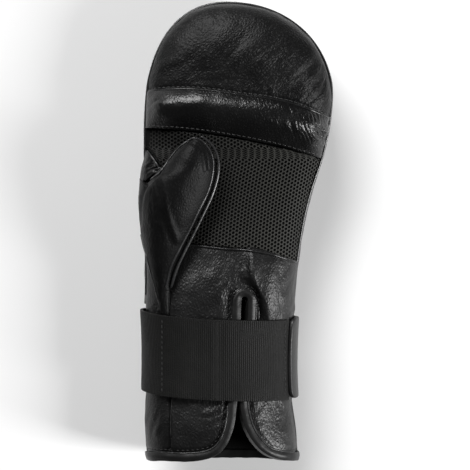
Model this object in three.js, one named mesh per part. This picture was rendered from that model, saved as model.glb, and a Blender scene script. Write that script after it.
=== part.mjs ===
// A left bag glove: a leather mitt with a thumb, lying on its padded back with the palm side up.
// X runs from the thumb side to the little finger side, Y from the cuff's hem to the fingertips,
// Z up from the surface that the padded back rests on. Millimetres.
import * as THREE from 'three';

// Lengths and widths of the mitt
const cuffLength = 98; // hem of the cuff to the wrist crease
const handLength = 189; // wrist crease to the end of the palm side
const cuffHalfWidth = 47;
const cuffShift = -10.5; // the cuff's middle, towards the thumb side
const handHalfWidth = 60;
const tipShift = -5.3; // where the fingertip arch peaks

// Heights: the side seams above the ground, the palm side above them, the cuff's back below them
const cuffSeamHeight = 36;
const cuffRise = 27;
const cuffDepth = 27;
const handSeamHeight = 43;
const handRise = 16;

// Walls
const panelWall = 3.5; // leather over thin foam: heel, gusset, thumb, cuff
const meshWall = 2.5;
const rollWall = 4;
const hoodWall = 7;
const webWall = 2;
const liningWall = 1;

// Clearances
const seamGap = 0.25; // each side of a sewn seam
const rimGap = 0.4; // palm side over the padded back's rim
const clothGap = 0.5; // under straps, bindings and linings

// Padded back
const padOverhang = 2;
const padThickness = 24;
const padRim = 12;
const channelDepth = 5;
const padEndRound = 8;

// Grip roll, thumb and welt
const rollCrest = 6;
const thumbLength = 119;
const thumbHeight = 25; // over the palm side
const weltWidth = 3.4;
const weltHeight = 1.8;

// Slit and binding
const keyholeRadius = 2.1;
const hemDrop = 2; // the back hem reaches this much further down than the front hem
const edgeFold = 1.3; // the leather's raw edge lies this far inside the bound edge
const tapeWidth = 5.5;
const tapeWall = 1;

// Strap
const strapWidth = 50;
const elasticWall = 2;
const tabWall = 3;
const tabCorner = 6;
const patchWidth = 75;
const patchHeight = 45;
const patchWall = 1.2;

// Stations along the mitt: 0 at the hem, 1 at the wrist crease, 2 at the end of the palm side.
const stationY = (at) => (at < 1 ? at * cuffLength : cuffLength + (at - 1) * handLength);
const palmTip = stationY(2);

// Widths are shares of the half widths, from the cuff's middle and from x = 0 on the hand. Heights are
// shares of the cuff's and the hand's heights, and full is the power of the section's superellipse.
const cuffSections = [
  { at: 0, thumb: 0.957, little: 1.043, seam: 1, rise: 1, depth: 1, full: 2.2 },
  { at: 0.204, thumb: 1.006, little: 1.028, seam: 1, rise: 1.02, depth: 1, full: 2.2 },
  { at: 0.395, thumb: 0.989, little: 0.968, seam: 1, rise: 0.98, depth: 0.98, full: 2.2 },
  { at: 0.683, thumb: 0.964, little: 0.943, seam: 1, rise: 0.945, depth: 0.96, full: 2.2 },
  { at: 0.969, thumb: 0.994, little: 0.979, seam: 1.03, rise: 0.945, depth: 0.9, full: 2.25 },
];
const handSections = [
  { at: 1.066, thumb: 0.94, little: 0.607, seam: 0.9, rise: 1.48, full: 2.35 },
  { at: 1.181, thumb: 0.94, little: 0.648, seam: 0.93, rise: 1.2, full: 2.5 },
  { at: 1.312, thumb: 0.943, little: 0.722, seam: 0.95, rise: 1.02, full: 2.7 },
  { at: 1.408, thumb: 0.948, little: 0.805, seam: 0.97, rise: 0.95, full: 2.7 },
  { at: 1.508, thumb: 0.95, little: 0.91, seam: 0.985, rise: 0.94, full: 2.7 },
  { at: 1.59, thumb: 0.948, little: 0.963, seam: 1, rise: 1.1, full: 2.7 },
  { at: 1.671, thumb: 0.948, little: 0.998, seam: 1.02, rise: 1.25, full: 2.6 },
  { at: 1.79, thumb: 0.948, little: 0.998, seam: 1.05, rise: 1.3, full: 2.4 },
  { at: 2, thumb: 0.948, little: 0.998, seam: 1.09, rise: 1.3, full: 2.3 },
];
const sections = [
  ...cuffSections.map((row) => ({
    at: row.at,
    left: cuffShift - row.thumb * cuffHalfWidth,
    right: cuffShift + row.little * cuffHalfWidth,
    seam: row.seam * cuffSeamHeight,
    rise: row.rise * cuffRise,
    depth: row.depth * cuffDepth,
    full: row.full,
  })),
  ...handSections.map((row) => ({
    at: row.at,
    left: -row.thumb * handHalfWidth,
    right: row.little * handHalfWidth,
    seam: row.seam * handSeamHeight,
    rise: row.rise * handRise,
    depth: 0.9 * cuffDepth,
    full: row.full,
  })),
];

// The fingertip arch: where each side leaves its straight leg, and how square its curve is.
const arch = {
  left: { start: stationY(1.596), power: 2.3 },
  right: { start: stationY(1.679), power: 2.1 },
  dome: { start: stationY(1.794), power: 2.3 },
};

// Seams across the palm side, as stations, by the share of the width from the thumb side.
const crossSeams = [
  { across: 0, rollTop: 1.7085, rollLow: 1.586, heelTop: 1.2122 },
  { across: 0.25, rollTop: 1.7116, rollLow: 1.5746, heelTop: 1.2058 },
  { across: 0.5, rollTop: 1.6931, rollLow: 1.5529, heelTop: 1.1915 },
  { across: 0.75, rollTop: 1.6704, rollLow: 1.5233, heelTop: 1.181 },
  { across: 1, rollTop: 1.619, rollLow: 1.4852, heelTop: 1.146 },
];

// The thumb opening, as shares of the width: the palm panels start at palm, the gusset ends at gusset.
const thumbOpening = [
  { at: 0, palm: 0.17, gusset: 0.17 },
  { at: 0.459, palm: 0.181, gusset: 0.181 },
  { at: 0.83, palm: 0.172, gusset: 0.172 },
  { at: 0.875, palm: 0.172, gusset: 0.152 },
  { at: 0.982, palm: 0.172, gusset: 0.107 },
  { at: 1.06, palm: 0.173, gusset: 0.078 },
  { at: 1.123, palm: 0.172, gusset: 0.045 },
  { at: 1.202, palm: 0.174, gusset: 0.003 },
  { at: 1.249, palm: 0.169, gusset: 0 },
  { at: 1.308, palm: 0.157, gusset: 0 },
  { at: 1.361, palm: 0.143, gusset: 0 },
  { at: 1.404, palm: 0.129, gusset: 0 },
  { at: 1.442, palm: 0.112, gusset: 0 },
  { at: 1.487, palm: 0.054, gusset: 0 },
  { at: 1.526, palm: 0, gusset: 0 },
];

// The slit's bound edge in the palm side of the cuff: its middle and half its gap, as shares of the width.
const slitRows = [
  { at: 0.0286, middle: 0.6235, half: 0.2565 },
  { at: 0.057, middle: 0.6275, half: 0.1675 },
  { at: 0.1148, middle: 0.6295, half: 0.0985 },
  { at: 0.198, middle: 0.625, half: 0.048 },
  { at: 0.293, middle: 0.627, half: 0.02 },
  { at: 0.389, middle: 0.6305, half: 0.008 },
  { at: 0.51, middle: 0.64, half: 0.009 },
  { at: 0.651, middle: 0.648, half: 0.012 },
  { at: 0.79, middle: 0.66, half: 0.018 },
  { at: 0.918, middle: 0.669, half: 0.0225 },
  { at: 0.995, middle: 0.669, half: 0.0225 },
];
const slitCorner = 3; // the row where the flaps' rounded corners turn into the slit's sides
const leftHem = [0, 0.03, 0.09, 0.17, 0.26];
const rightHem = [0.94, 0.98, 1];

// Soft folds in the leather of the palm side: ridges and dents between two places.
const folds = [
  { from: [0.93, 1.76], to: [0.8, 1.68], height: 1.5, spread: 4.5 },
  { from: [0.98, 1.72], to: [0.87, 1.64], height: 1.3, spread: 4 },
  { from: [0.66, 1.83], to: [0.4, 1.78], height: 1.2, spread: 6 },
  { from: [0.25, 1.76], to: [0.55, 1.75], height: -1.2, spread: 8 },
  { from: [0.82, 1.14], to: [0.79, 1.04], height: 1.8, spread: 4 },
  { from: [0.9, 1.12], to: [0.86, 0.98], height: 1.2, spread: 3.5 },
  { from: [0.74, 1.08], to: [0.73, 0.99], height: -1.2, spread: 3.5 },
  { from: [0.62, 1.17], to: [0.63, 1.09], height: 1, spread: 3.5 },
];

const mix = (a, b, share) => a + (b - a) * share;
const clamp = (value, low, high) => Math.min(Math.max(value, low), high);
const smooth = (low, high, value) => {
  const share = clamp((value - low) / (high - low), 0, 1);
  return share * share * (3 - 2 * share);
};
const steps = (count, curve = (share) => share) =>
  Array.from({ length: count + 1 }, (_, index) => curve(index / count));
const easeBoth = (share) => (1 - Math.cos(Math.PI * share)) / 2;
const easeEnd = (share) => Math.sin((Math.PI / 2) * share);

// A smooth curve through one column of a table, at a place in its key column.
function along(rows, key, value, column) {
  const last = rows.length - 1;
  if (value <= rows[0][key]) return rows[0][column];
  if (value >= rows[last][key]) return rows[last][column];
  let first = 0;
  while (rows[first + 1][key] < value) first += 1;
  const slope = (index) => {
    const low = rows[Math.max(index - 1, 0)];
    const high = rows[Math.min(index + 1, last)];
    return (high[column] - low[column]) / (high[key] - low[key]);
  };
  const span = rows[first + 1][key] - rows[first][key];
  const t = (value - rows[first][key]) / span;
  const start = rows[first][column] * (2 * t ** 3 - 3 * t ** 2 + 1);
  const end = rows[first + 1][column] * (3 * t ** 2 - 2 * t ** 3);
  const bend = slope(first) * (t ** 3 - 2 * t ** 2 + t) + slope(first + 1) * (t ** 3 - t ** 2);
  return start + end + bend * span;
}

const stationOf = (y) => (y < cuffLength ? y / cuffLength : 1 + (y - cuffLength) / handLength);
const section = (y, column) => along(sections, 'at', stationOf(y), column);
const seamY = (name, across) => stationY(along(crossSeams, 'across', across, name));
const openingAcross = (y, side) => Math.max(0, along(thumbOpening, 'at', stationOf(y), side));
const archShare = (share, power) => (1 - clamp(share, 0, 1) ** power) ** (1 / power);

// The mitt's two side edges at y, each moved in by inset.
function sides(y, inset) {
  const tip = palmTip - inset;
  const edge = (side, sign) => {
    const { start, power } = arch[side];
    const leg = section(Math.min(y, start), side) + sign * inset;
    return tipShift + (leg - tipShift) * archShare((y - start) / (tip - start), power);
  };
  return { left: edge('left', 1), right: edge('right', -1) };
}

const widthAt = (y) => {
  const { left, right } = sides(y, 0);
  return right - left;
};

// Height of a fold pattern over the palm side's smooth form.
function foldHeight(x, y) {
  let height = 0;
  for (const { from, to, height: crest, spread } of folds) {
    const [x0, y0, x1, y1] = [from, to].flatMap(([across, at]) => {
      const { left, right } = sides(stationY(at), 0);
      return [mix(left, right, across), stationY(at)];
    });
    const length = Math.hypot(x1 - x0, y1 - y0);
    const share = clamp(((x - x0) * (x1 - x0) + (y - y0) * (y1 - y0)) / length ** 2, 0, 1);
    const away = Math.hypot(x - mix(x0, x1, share), y - mix(y0, y1, share));
    height += crest * Math.sin(Math.PI * mix(0.15, 0.85, share)) * Math.exp(-((away / spread) ** 2));
  }
  return height;
}

// A point of the palm side, by the share of the width and y, moved inside by inset.
function palm(across, y, inset) {
  const { left, right } = sides(y, inset);
  return palmAt(mix(left, right, across), y, inset);
}

function palmAt(x, y, inset) {
  const { left, right } = sides(y, inset);
  const half = Math.max((right - left) / 2, 0.01);
  const across = Math.abs(x - (left + right) / 2) / half;
  const dome = archShare((y - arch.dome.start) / (palmTip - inset - arch.dome.start), arch.dome.power);
  const rise = (section(y, 'rise') - inset) * dome;
  const z = section(y, 'seam') + rimGap + rise * archShare(across, section(y, 'full'));
  return new THREE.Vector3(x, y, z);
}

const folded = (point, fade) => point.setZ(point.z + fade * foldHeight(point.x, point.y));

// A point of the cuff's whole ring: turn 0 is the little finger side, 90 the palm side, 180 the thumb side.
function ring(turn, y, inset) {
  const angle = THREE.MathUtils.degToRad(turn);
  const { left, right } = sides(y, inset);
  const power = 2 / section(y, 'full');
  const grow = (value) => Math.sign(value) * Math.abs(value) ** power;
  const height = section(y, Math.sin(angle) > 0 ? 'rise' : 'depth') - inset;
  return new THREE.Vector3(
    (left + right) / 2 + ((right - left) / 2) * grow(Math.cos(angle)),
    y,
    section(y, 'seam') + height * grow(Math.sin(angle)),
  );
}

// One closed body between an outer and an inner skin. Each grid is a list of rows of points, both skins
// have the same rows and columns, and grids of one body share the points where they meet.
function shell(grids) {
  const numbers = new Map();
  const skin = [];
  const lining = [];
  const triangles = [];
  for (const { outer, inner } of grids) {
    const grid = outer.map((row, i) => row.map((point, j) => {
      const key = point.toArray().map((value) => Math.round(value * 500)).join();
      if (!numbers.has(key)) {
        numbers.set(key, skin.length);
        skin.push(point);
        lining.push(inner[i][j]);
      }
      return numbers.get(key);
    }));
    for (let i = 0; i + 1 < grid.length; i += 1) {
      for (let j = 0; j + 1 < grid[i].length; j += 1) {
        const [a, b, c, d] = [grid[i][j], grid[i][j + 1], grid[i + 1][j + 1], grid[i + 1][j]];
        const direct = skin[a].distanceTo(skin[c]) <= skin[b].distanceTo(skin[d]);
        triangles.push(...(direct ? [[a, b, c], [a, c, d]] : [[a, b, d], [b, c, d]]));
      }
    }
  }
  const outside = triangles.filter(([a, b, c]) => a !== b && b !== c && c !== a);
  const edges = new Set(outside.flatMap(([a, b, c]) => [`${a},${b}`, `${b},${c}`, `${c},${a}`]));
  const step = skin.length;
  const faces = [...outside, ...outside.map(([a, b, c]) => [c + step, b + step, a + step])];
  for (const edge of edges) {
    const [a, b] = edge.split(',').map(Number);
    if (!edges.has(`${b},${a}`)) faces.push([b, a, a + step], [b, a + step, b + step]);
  }
  return solid([...skin, ...lining], faces);
}

// A geometry from points and faces, with the faces turned outwards.
function solid(points, faces) {
  let volume = 0;
  for (const [a, b, c] of faces) volume += points[a].dot(points[b].clone().cross(points[c]));
  const order = volume < 0 ? ([a, b, c]) => [c, b, a] : (face) => face;
  const geometry = new THREE.BufferGeometry();
  const positions = points.flatMap((point) => point.toArray());
  geometry.setAttribute('position', new THREE.Float32BufferAttribute(positions, 3));
  geometry.setIndex(faces.flatMap(order));
  geometry.computeVertexNormals();
  return geometry;
}

// The outward normals of a grid of points, the same for points that lie together.
function gridNormals(grid) {
  const sums = new Map();
  const key = (point) => point.toArray().map((value) => Math.round(value * 500)).join();
  const add = (...corners) => {
    const normal = corners[1].clone().sub(corners[0]).cross(corners[2].clone().sub(corners[0]));
    for (const corner of corners) {
      const sum = sums.get(key(corner)) ?? new THREE.Vector3();
      sums.set(key(corner), sum.add(normal));
    }
  };
  for (let i = 0; i + 1 < grid.length; i += 1) {
    for (let j = 0; j + 1 < grid[i].length; j += 1) {
      add(grid[i][j], grid[i][j + 1], grid[i + 1][j + 1]);
      add(grid[i][j], grid[i + 1][j + 1], grid[i + 1][j]);
    }
  }
  return grid.map((row) => row.map((point) => sums.get(key(point)).clone().normalize()));
}

// Places inside a frame of four edges, each a list of [across, y].
function framed(bottom, top, left, right) {
  const blend = (i, j, axis) => {
    const s = j / (bottom.length - 1);
    const t = i / (left.length - 1);
    const corners = mix(
      mix(bottom[0][axis], bottom[bottom.length - 1][axis], s),
      mix(top[0][axis], top[top.length - 1][axis], s),
      t,
    );
    return mix(bottom[j][axis], top[j][axis], t) + mix(left[i][axis], right[i][axis], s) - corners;
  };
  return left.map((_, i) => bottom.map((__, j) => [blend(i, j, 0), blend(i, j, 1)]));
}

// The two skins of a palm side panel over a grid of [across, y] places.
function panel(places, wall, lift = () => 0) {
  const outer = places.map((row, i) => row.map(([across, y], j) => {
    const point = palm(across, y, 0);
    return point.setZ(point.z + lift(point, across, y, i, j));
  }));
  const inner = places.map((row) => row.map(([across, y]) => palm(across, y, wall)));
  return { outer, inner };
}

const edgeFade = (across) => smooth(0, 0.08, across) * smooth(0, 0.08, 1 - across);
const creased = (point, across) => edgeFade(across) * foldHeight(point.x, point.y);

const glove = new THREE.Group();
const finishes = {
  leather: { color: 0x161616, roughness: 0.42, metalness: 0 },
  mesh: { color: 0x35352f, roughness: 0.85, metalness: 0 },
  binding: { color: 0x242424, roughness: 0.5, metalness: 0 },
  elastic: { color: 0x111111, roughness: 0.9, metalness: 0 },
  patch: { color: 0x101012, roughness: 0.35, metalness: 0 },
  lining: { color: 0x050505, roughness: 0.95, metalness: 0 },
};

function add(name, finish, geometry) {
  const mesh = new THREE.Mesh(geometry, new THREE.MeshStandardMaterial(finishes[finish]));
  mesh.name = name;
  glove.add(mesh);
}

// The padded back: three padded bands between two stitched horseshoe channels round a middle tongue.
// Places across are bands: 0 at the spine, 1 at the inner channel, 2 at the outer channel, 3 at the edge.
const padChannels = [
  { at: 1.017, spine: 0.52, innerLeft: 0.271, outerLeft: 0.763, innerRight: 0.292, outerRight: 0.856 },
  { at: 1.183, spine: 0.508, innerLeft: 0.24, outerLeft: 0.736, innerRight: 0.248, outerRight: 0.783 },
  { at: 1.348, spine: 0.485, innerLeft: 0.239, outerLeft: 0.748, innerRight: 0.223, outerRight: 0.715 },
  { at: 1.513, spine: 0.469, innerLeft: 0.252, outerLeft: 0.772, innerRight: 0.222, outerRight: 0.702 },
  { at: 1.712, spine: 0.475, innerLeft: 0.3, outerLeft: 0.79, innerRight: 0.27, outerRight: 0.74 },
];
const padArchShare = { inner: 0.36, outer: 0.83 };
const padThicknessRows = [
  { at: 1, share: 0.72 },
  { at: 1.2, share: 0.9 },
  { at: 1.55, share: 1.08 },
  { at: 1.8, share: 1.04 },
  { at: 2, share: 1 },
];
// Lift is a share of the seam's height, dip of the channel's depth. Inside is the same profile's place on
// the inner face, as a share of the way from the spine to the rim, and its lift from there to the seam.
const padProfile = [
  { band: 0, lift: 0, dip: 0, inside: 0, insideLift: 0 },
  { band: 0.5, lift: 0, dip: 0, inside: 0.12, insideLift: 0 },
  { band: 0.8, lift: 0, dip: 0.3, inside: 0.22, insideLift: 0 },
  { band: 1, lift: 0, dip: 1, inside: 0.28, insideLift: 0 },
  { band: 1.14, lift: 0, dip: 0.3, inside: 0.36, insideLift: 0 },
  { band: 1.35, lift: 0, dip: 0, inside: 0.48, insideLift: 0 },
  { band: 1.65, lift: 0, dip: 0, inside: 0.62, insideLift: 0 },
  { band: 1.87, lift: 0.05, dip: 0.3, inside: 0.74, insideLift: 0 },
  { band: 2, lift: 0.08, dip: 1, inside: 0.8, insideLift: 0 },
  { band: 2.16, lift: 0.09, dip: 0.3, inside: 0.85, insideLift: 0.03 },
  { band: 2.4, lift: 0.12, dip: 0, inside: 0.9, insideLift: 0.08 },
  { band: 2.7, lift: 0.24, dip: 0, inside: 0.95, insideLift: 0.2 },
  { band: 2.9, lift: 0.42, dip: 0, inside: 0.98, insideLift: 0.4 },
  { band: 3, lift: 0.66, dip: 0, inside: 1, insideLift: 0.7 },
  { band: 3, lift: 1, dip: 0, inside: 1, insideLift: 1 },
];
const padStart = cuffLength + clothGap;
const padFocusY = stationY(1.712);

function padStations() {
  const legShares = [0, 0.008, 0.026, 0.06, 0.16, 0.28, 0.42, 0.56, 0.7, 0.85, 1];
  const legs = legShares.map((share) => mix(padStart, padFocusY, share));
  const turns = steps(14).slice(1, -1).map((share) => Math.PI * (1 - share));
  return [
    ...legs.map((y) => ({ side: 'Left', y, turn: Math.PI })),
    ...turns.map((turn) => ({ side: 'Arch', y: padFocusY, turn })),
    ...[...legs].reverse().map((y) => ({ side: 'Right', y, turn: 0 })),
  ];
}

// How far the padded back reaches from its spine at a station, with the outline moved out by spare.
function padReach({ side, y, turn }, spineX, spare) {
  const { left, right } = sides(y, -spare);
  if (side === 'Left') return spineX - left;
  if (side === 'Right') return right - spineX;
  let low = 0;
  let high = 2 * handHalfWidth;
  for (let pass = 0; pass < 30; pass += 1) {
    const reach = (low + high) / 2;
    const at = padFocusY + reach * Math.sin(turn);
    const x = spineX + reach * Math.cos(turn);
    const edge = sides(at, -spare);
    const isInside = at < palmTip + spare && x > edge.left && x < edge.right;
    if (isInside) low = reach;
    else high = reach;
  }
  return low;
}

function padShare(station, name) {
  const legShare = (side) => along(padChannels, 'at', stationOf(station.y), `${name}${side}`);
  if (station.side !== 'Arch') return legShare(station.side);
  const side = legShare(station.turn > Math.PI / 2 ? 'Left' : 'Right');
  return mix(side, padArchShare[name], Math.sin(station.turn) ** 2);
}

function backPad() {
  const outer = [];
  const inner = [];
  for (const station of padStations()) {
    const plan = sides(station.y, -padOverhang);
    const spineShare = along(padChannels, 'at', stationOf(station.y), 'spine');
    const spineX = mix(plan.left, plan.right, spineShare);
    const reach = padReach(station, spineX, padOverhang);
    const seamReach = padReach(station, spineX, 0);
    const bands = [0, padShare(station, 'inner'), padShare(station, 'outer'), 1];
    const place = (distance) => [
      spineX + distance * Math.cos(station.turn),
      station.y + (station.side === 'Arch' ? distance * Math.sin(station.turn) : 0),
    ];
    const endShare = clamp(1 - (station.y - padStart) / padEndRound, 0, 1);
    const endLift = padEndRound * (1 - Math.sqrt(1 - endShare ** 2)) * (station.side === 'Arch' ? 0 : 1);
    outer.push(padProfile.map(({ band, lift, dip }) => {
      const first = Math.min(Math.floor(band), 2);
      const share = mix(bands[first], bands[first + 1], band - first);
      const [x, y] = place(lift === 1 ? seamReach : share * reach);
      const seam = section(y, 'seam');
      return new THREE.Vector3(x, y, lift * seam + dip * channelDepth + endLift * (1 - lift));
    }));
    inner.push(padProfile.map(({ inside, insideLift }) => {
      const [x, y] = place(inside * (seamReach - padRim));
      const thickness = along(padThicknessRows, 'at', stationOf(y), 'share') * padThickness;
      return new THREE.Vector3(x, y, mix(thickness - endLift * 0.4, section(y, 'seam'), insideLift));
    }));
  }
  add('back_pad', 'leather', shell([{ outer, inner }]));
}
backPad();

// The front hem and slit as one bound edge in plan, from the thumb side to the little finger side.
function frontEdge() {
  const planX = (across, y) => mix(sides(y, 0).left, sides(y, 0).right, across);
  const hemY = (across) => hemDrop * mix(0.5, 1, smooth(0, 0.1, Math.min(across, 1 - across)));
  const hem = (across) => [planX(across, hemY(across)), hemY(across)];
  const slit = (side) => slitRows.map(({ at, middle, half }) => {
    const y = stationY(at);
    return [planX(middle + side * half, y), y];
  });
  const [topLeft, topRight] = [slit(-1).pop(), slit(1).pop()];
  const middle = (topLeft[0] + topRight[0]) / 2;
  const turns = [150, 120, 90, 60, 30].map(THREE.MathUtils.degToRad);
  const keyhole = turns.map((turn) => [
    middle + keyholeRadius * Math.cos(turn),
    topLeft[1] + keyholeRadius * Math.sin(turn),
  ]);
  return [...leftHem.map(hem), ...slit(-1), ...keyhole, ...slit(1).reverse(), ...rightHem.map(hem)];
}

// The same edge moved into the leather, which lies on its left.
function insideEdge(edge, distance) {
  return edge.map(([x, y], index) => {
    const [x0, y0] = edge[Math.max(index - 1, 0)];
    const [x1, y1] = edge[Math.min(index + 1, edge.length - 1)];
    const length = Math.hypot(x1 - x0, y1 - y0);
    const isEnd = index === 0 || index === edge.length - 1;
    const normal = isEnd ? [0, 1] : [-(y1 - y0) / length, (x1 - x0) / length];
    return [x + distance * normal[0], y + distance * normal[1]];
  });
}

const toAcross = ([x, y]) => {
  const { left, right } = sides(y, 0);
  return [clamp((x - left) / (right - left), 0, 1), y];
};
const boundEdge = frontEdge();
const rawEdge = insideEdge(boundEdge, edgeFold).map(toAcross);
const seamIndex = 3;
const cornerIndex = leftHem.length + slitCorner;
const peakIndex = (boundEdge.length - 1 + leftHem.length - rightHem.length) / 2;
const farCornerIndex = 2 * peakIndex - cornerIndex;

// The heel panel: the leather below the mesh, with the slit and its keyhole cut up between two flaps.
function heelPanel() {
  const peak = rawEdge[peakIndex];
  const peakTop = [peak[0], seamY('heelTop', peak[0]) - seamGap];
  const above = steps(5).slice(1).map((share) => [peak[0], mix(peak[1], peakTop[1], share)]);
  const hem = rawEdge.slice(seamIndex, cornerIndex + 1);
  hem[0] = [hem[0][0] + seamGap / widthAt(0), hem[0][1]];
  const leftSlit = [...rawEdge.slice(cornerIndex, peakIndex + 1), ...above];
  const rightSlit = [...rawEdge.slice(peakIndex, farCornerIndex + 1).reverse(), ...above];
  const rightHemRaw = rawEdge.slice(farCornerIndex);
  const rows = leftSlit.length - 1;
  const thumbSide = steps(rows).map((share) => {
    const y = mix(hem[0][1], seamY('heelTop', 0.17) - seamGap, share);
    return [openingAcross(y, 'palm') + seamGap / widthAt(y), y];
  });
  const littleTop = seamY('heelTop', 1) - seamGap;
  const littleSide = steps(rows).map((share) => [1, mix(rightHemRaw.at(-1)[1], littleTop, share)]);
  const topRow = (from, to, count, curve) => steps(count, curve).map((share) => {
    const across = mix(from, to, share);
    return [across, seamY('heelTop', across) - seamGap];
  });
  const leftTop = topRow(thumbSide[rows][0], peak[0], hem.length - 1);
  const rightTop = topRow(peak[0], 1, rightHemRaw.length - 1, easeEnd);
  add('heel_panel', 'leather', shell([
    panel(framed(hem, leftTop, thumbSide, leftSlit), panelWall, creased),
    panel(framed(rightHemRaw, rightTop, rightSlit, littleSide), panelWall, creased),
  ]));
}
heelPanel();

// The gusset closes the thumb side of the cuff and ends in a point beside the thumb.
function sideGusset() {
  const hem = rawEdge.slice(0, seamIndex + 1);
  const top = stationY(1.235);
  const places = steps(14).map((share) => {
    const y = mix(hem[0][1], top, share);
    const edge = Math.max(openingAcross(y, 'gusset') - seamGap / widthAt(y), 0);
    return hem.map(([across, hemY], index) => {
      const share3 = (index / (hem.length - 1)) ** 1.7;
      return [edge * share3 * (share < 1 ? 1 : 0), mix(hemY, y, smooth(0, 0.1, share))];
    });
  });
  add('side_gusset', 'leather', shell([panel(places, panelWall)]));
}
sideGusset();

// The perforated palm, between the heel and the grip roll, with the thumb opening at its side.
function palmMesh() {
  const columns = 11;
  const cross = (name, gap, from) => steps(columns, easeEnd).map((share) => {
    const across = mix(from, 1, share);
    return [across, seamY(name, across) + gap];
  });
  const low = seamY('heelTop', 0.17) + seamGap;
  const thumbTop = stationY(1.526);
  const high = seamY('rollLow', 0) - seamGap;
  const ys = [...steps(10).map((share) => mix(low, thumbTop, share)), mix(thumbTop, high, 0.5), high];
  const thumbSide = ys.map((y) => [y < thumbTop ? openingAcross(y, 'palm') + seamGap / widthAt(y) : 0, y]);
  const bottom = cross('heelTop', seamGap, thumbSide[0][0]);
  const top = cross('rollLow', -seamGap, 0);
  const [lowest, highest] = [bottom[columns][1], top[columns][1]];
  const littleSide = steps(ys.length - 1).map((share) => [1, mix(lowest, highest, share)]);
  add('palm_mesh', 'mesh', shell([panel(framed(bottom, top, thumbSide, littleSide), meshWall)]));
}
palmMesh();

// The padded roll that the fingers grip, across the palm under the fingertips.
function gripRoll() {
  const rows = 8;
  const places = steps(rows).map((t) => steps(20, easeBoth).map((across) => {
    const low = seamY('rollLow', across) + seamGap;
    const high = seamY('rollTop', across) - seamGap;
    return [across, mix(low, high, t)];
  }));
  const swell = (share) => Math.sin(Math.PI * share ** 1.15) ** 0.9;
  const lift = (point, across, y, i) => rollCrest * swell(i / rows) * edgeFade(across);
  add('grip_roll', 'leather', shell([panel(places, rollWall, lift)]));
}
gripRoll();

// The fingertip hood, padded, from the roll to the arch: columns run round the arch, rows in to the roll.
function fingerHood() {
  const columns = 28;
  const depths = [0, 0.03, 0.1, 0.22, 0.38, 0.56, 0.78, 1];
  const skin = (inset) => depths.map((depth) => steps(columns).map((share) => {
    const rollY = seamY('rollTop', share) + seamGap;
    const start = palm(share, rollY, inset);
    const turn = Math.PI * (1 - share);
    const baseY = mix(seamY('rollTop', 0), seamY('rollTop', 1), share) + seamGap;
    const y = baseY + (palmTip - inset - baseY) * Math.sin(turn) ** 0.72;
    const edge = sides(y, inset);
    const rim = Math.abs(share - 0.5) < 1e-6 ? tipShift : share < 0.5 ? edge.left : edge.right;
    const point = palmAt(mix(rim, start.x, depth), mix(y, rollY, depth), inset);
    return inset > 0 ? point : folded(point, smooth(0, 0.3, depth) * edgeFade(share));
  }));
  add('finger_hood', 'leather', shell([{ outer: skin(0), inner: skin(hoodWall) }]));
}
fingerHood();

// The thumb: a leather stall that opens into the palm, free above its crotch. Left and right are its two
// sides in plan, x as shares of the hand's half width and y of the thumb's length. Side and root are where
// it is sewn to the gusset and to the palm, the same where no root is given. Heights are shares of its
// height over the palm side, and a closed row is a whole ring.
const thumbRoot = stationY(0.855);
const thumbRows = [
  { side: 0, left: [-0.735, 0], right: [-0.699, 0], top: 0.01, welt: 0, under: 0 },
  { side: 0.105, left: [-0.797, 0.105], right: [-0.7, 0.105], top: 0.05, welt: 0.02, under: 0 },
  { side: 0.215, left: [-0.845, 0.215], right: [-0.69, 0.215], top: 0.19, welt: 0.1, under: 0.02 },
  { side: 0.315, left: [-0.905, 0.315], right: [-0.64, 0.315], top: 0.4, welt: 0.22, under: 0.03 },
  { side: 0.415, left: [-0.96, 0.415], right: [-0.542, 0.415], top: 0.6, welt: 0.32, under: 0.05 },
  { side: 0.515, left: [-1, 0.515], right: [-0.438, 0.515], top: 0.78, welt: 0.4, under: 0.07 },
  { side: 0.61, left: [-1.018, 0.61], right: [-0.349, 0.61], top: 0.92, welt: 0.46, under: 0.09 },
  { side: 0.694, left: [-1.026, 0.694], right: [-0.266, 0.694], top: 1, welt: 0.48, under: 0.1 },
  { side: 0.77, left: [-1.022, 0.78], right: [-0.219, 0.768], root: 0.762, top: 1.02, welt: 0.5, under: 0.1 },
  {
    side: 0.776, sideIn: 0.03, root: 0.792,
    left: [-0.93, 0.788], right: [-0.198, 0.82], top: 1.03, welt: 0.5, under: 0.1,
  },
  { closed: true, left: [-0.79, 0.818], right: [-0.198, 0.867], top: 1.02, welt: 0.5, under: 0.1 },
  { closed: true, left: [-0.703, 0.882], right: [-0.219, 0.912], top: 1, welt: 0.5, under: 0.1 },
  { closed: true, left: [-0.63, 0.93], right: [-0.255, 0.945], top: 0.94, welt: 0.5, under: 0.14 },
  { closed: true, left: [-0.547, 0.969], right: [-0.307, 0.972], top: 0.85, welt: 0.5, under: 0.22 },
  { closed: true, left: [-0.47, 0.993], right: [-0.37, 0.993], top: 0.68, welt: 0.5, under: 0.36 },
  { closed: true, left: [-0.417, 1], right: [-0.417, 1], top: 0.5, welt: 0.5, under: 0.5 },
];
const thumbBaseX = -0.55; // where the palm side's height is taken under the thumb
const thumbWeltColumn = 10;

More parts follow.
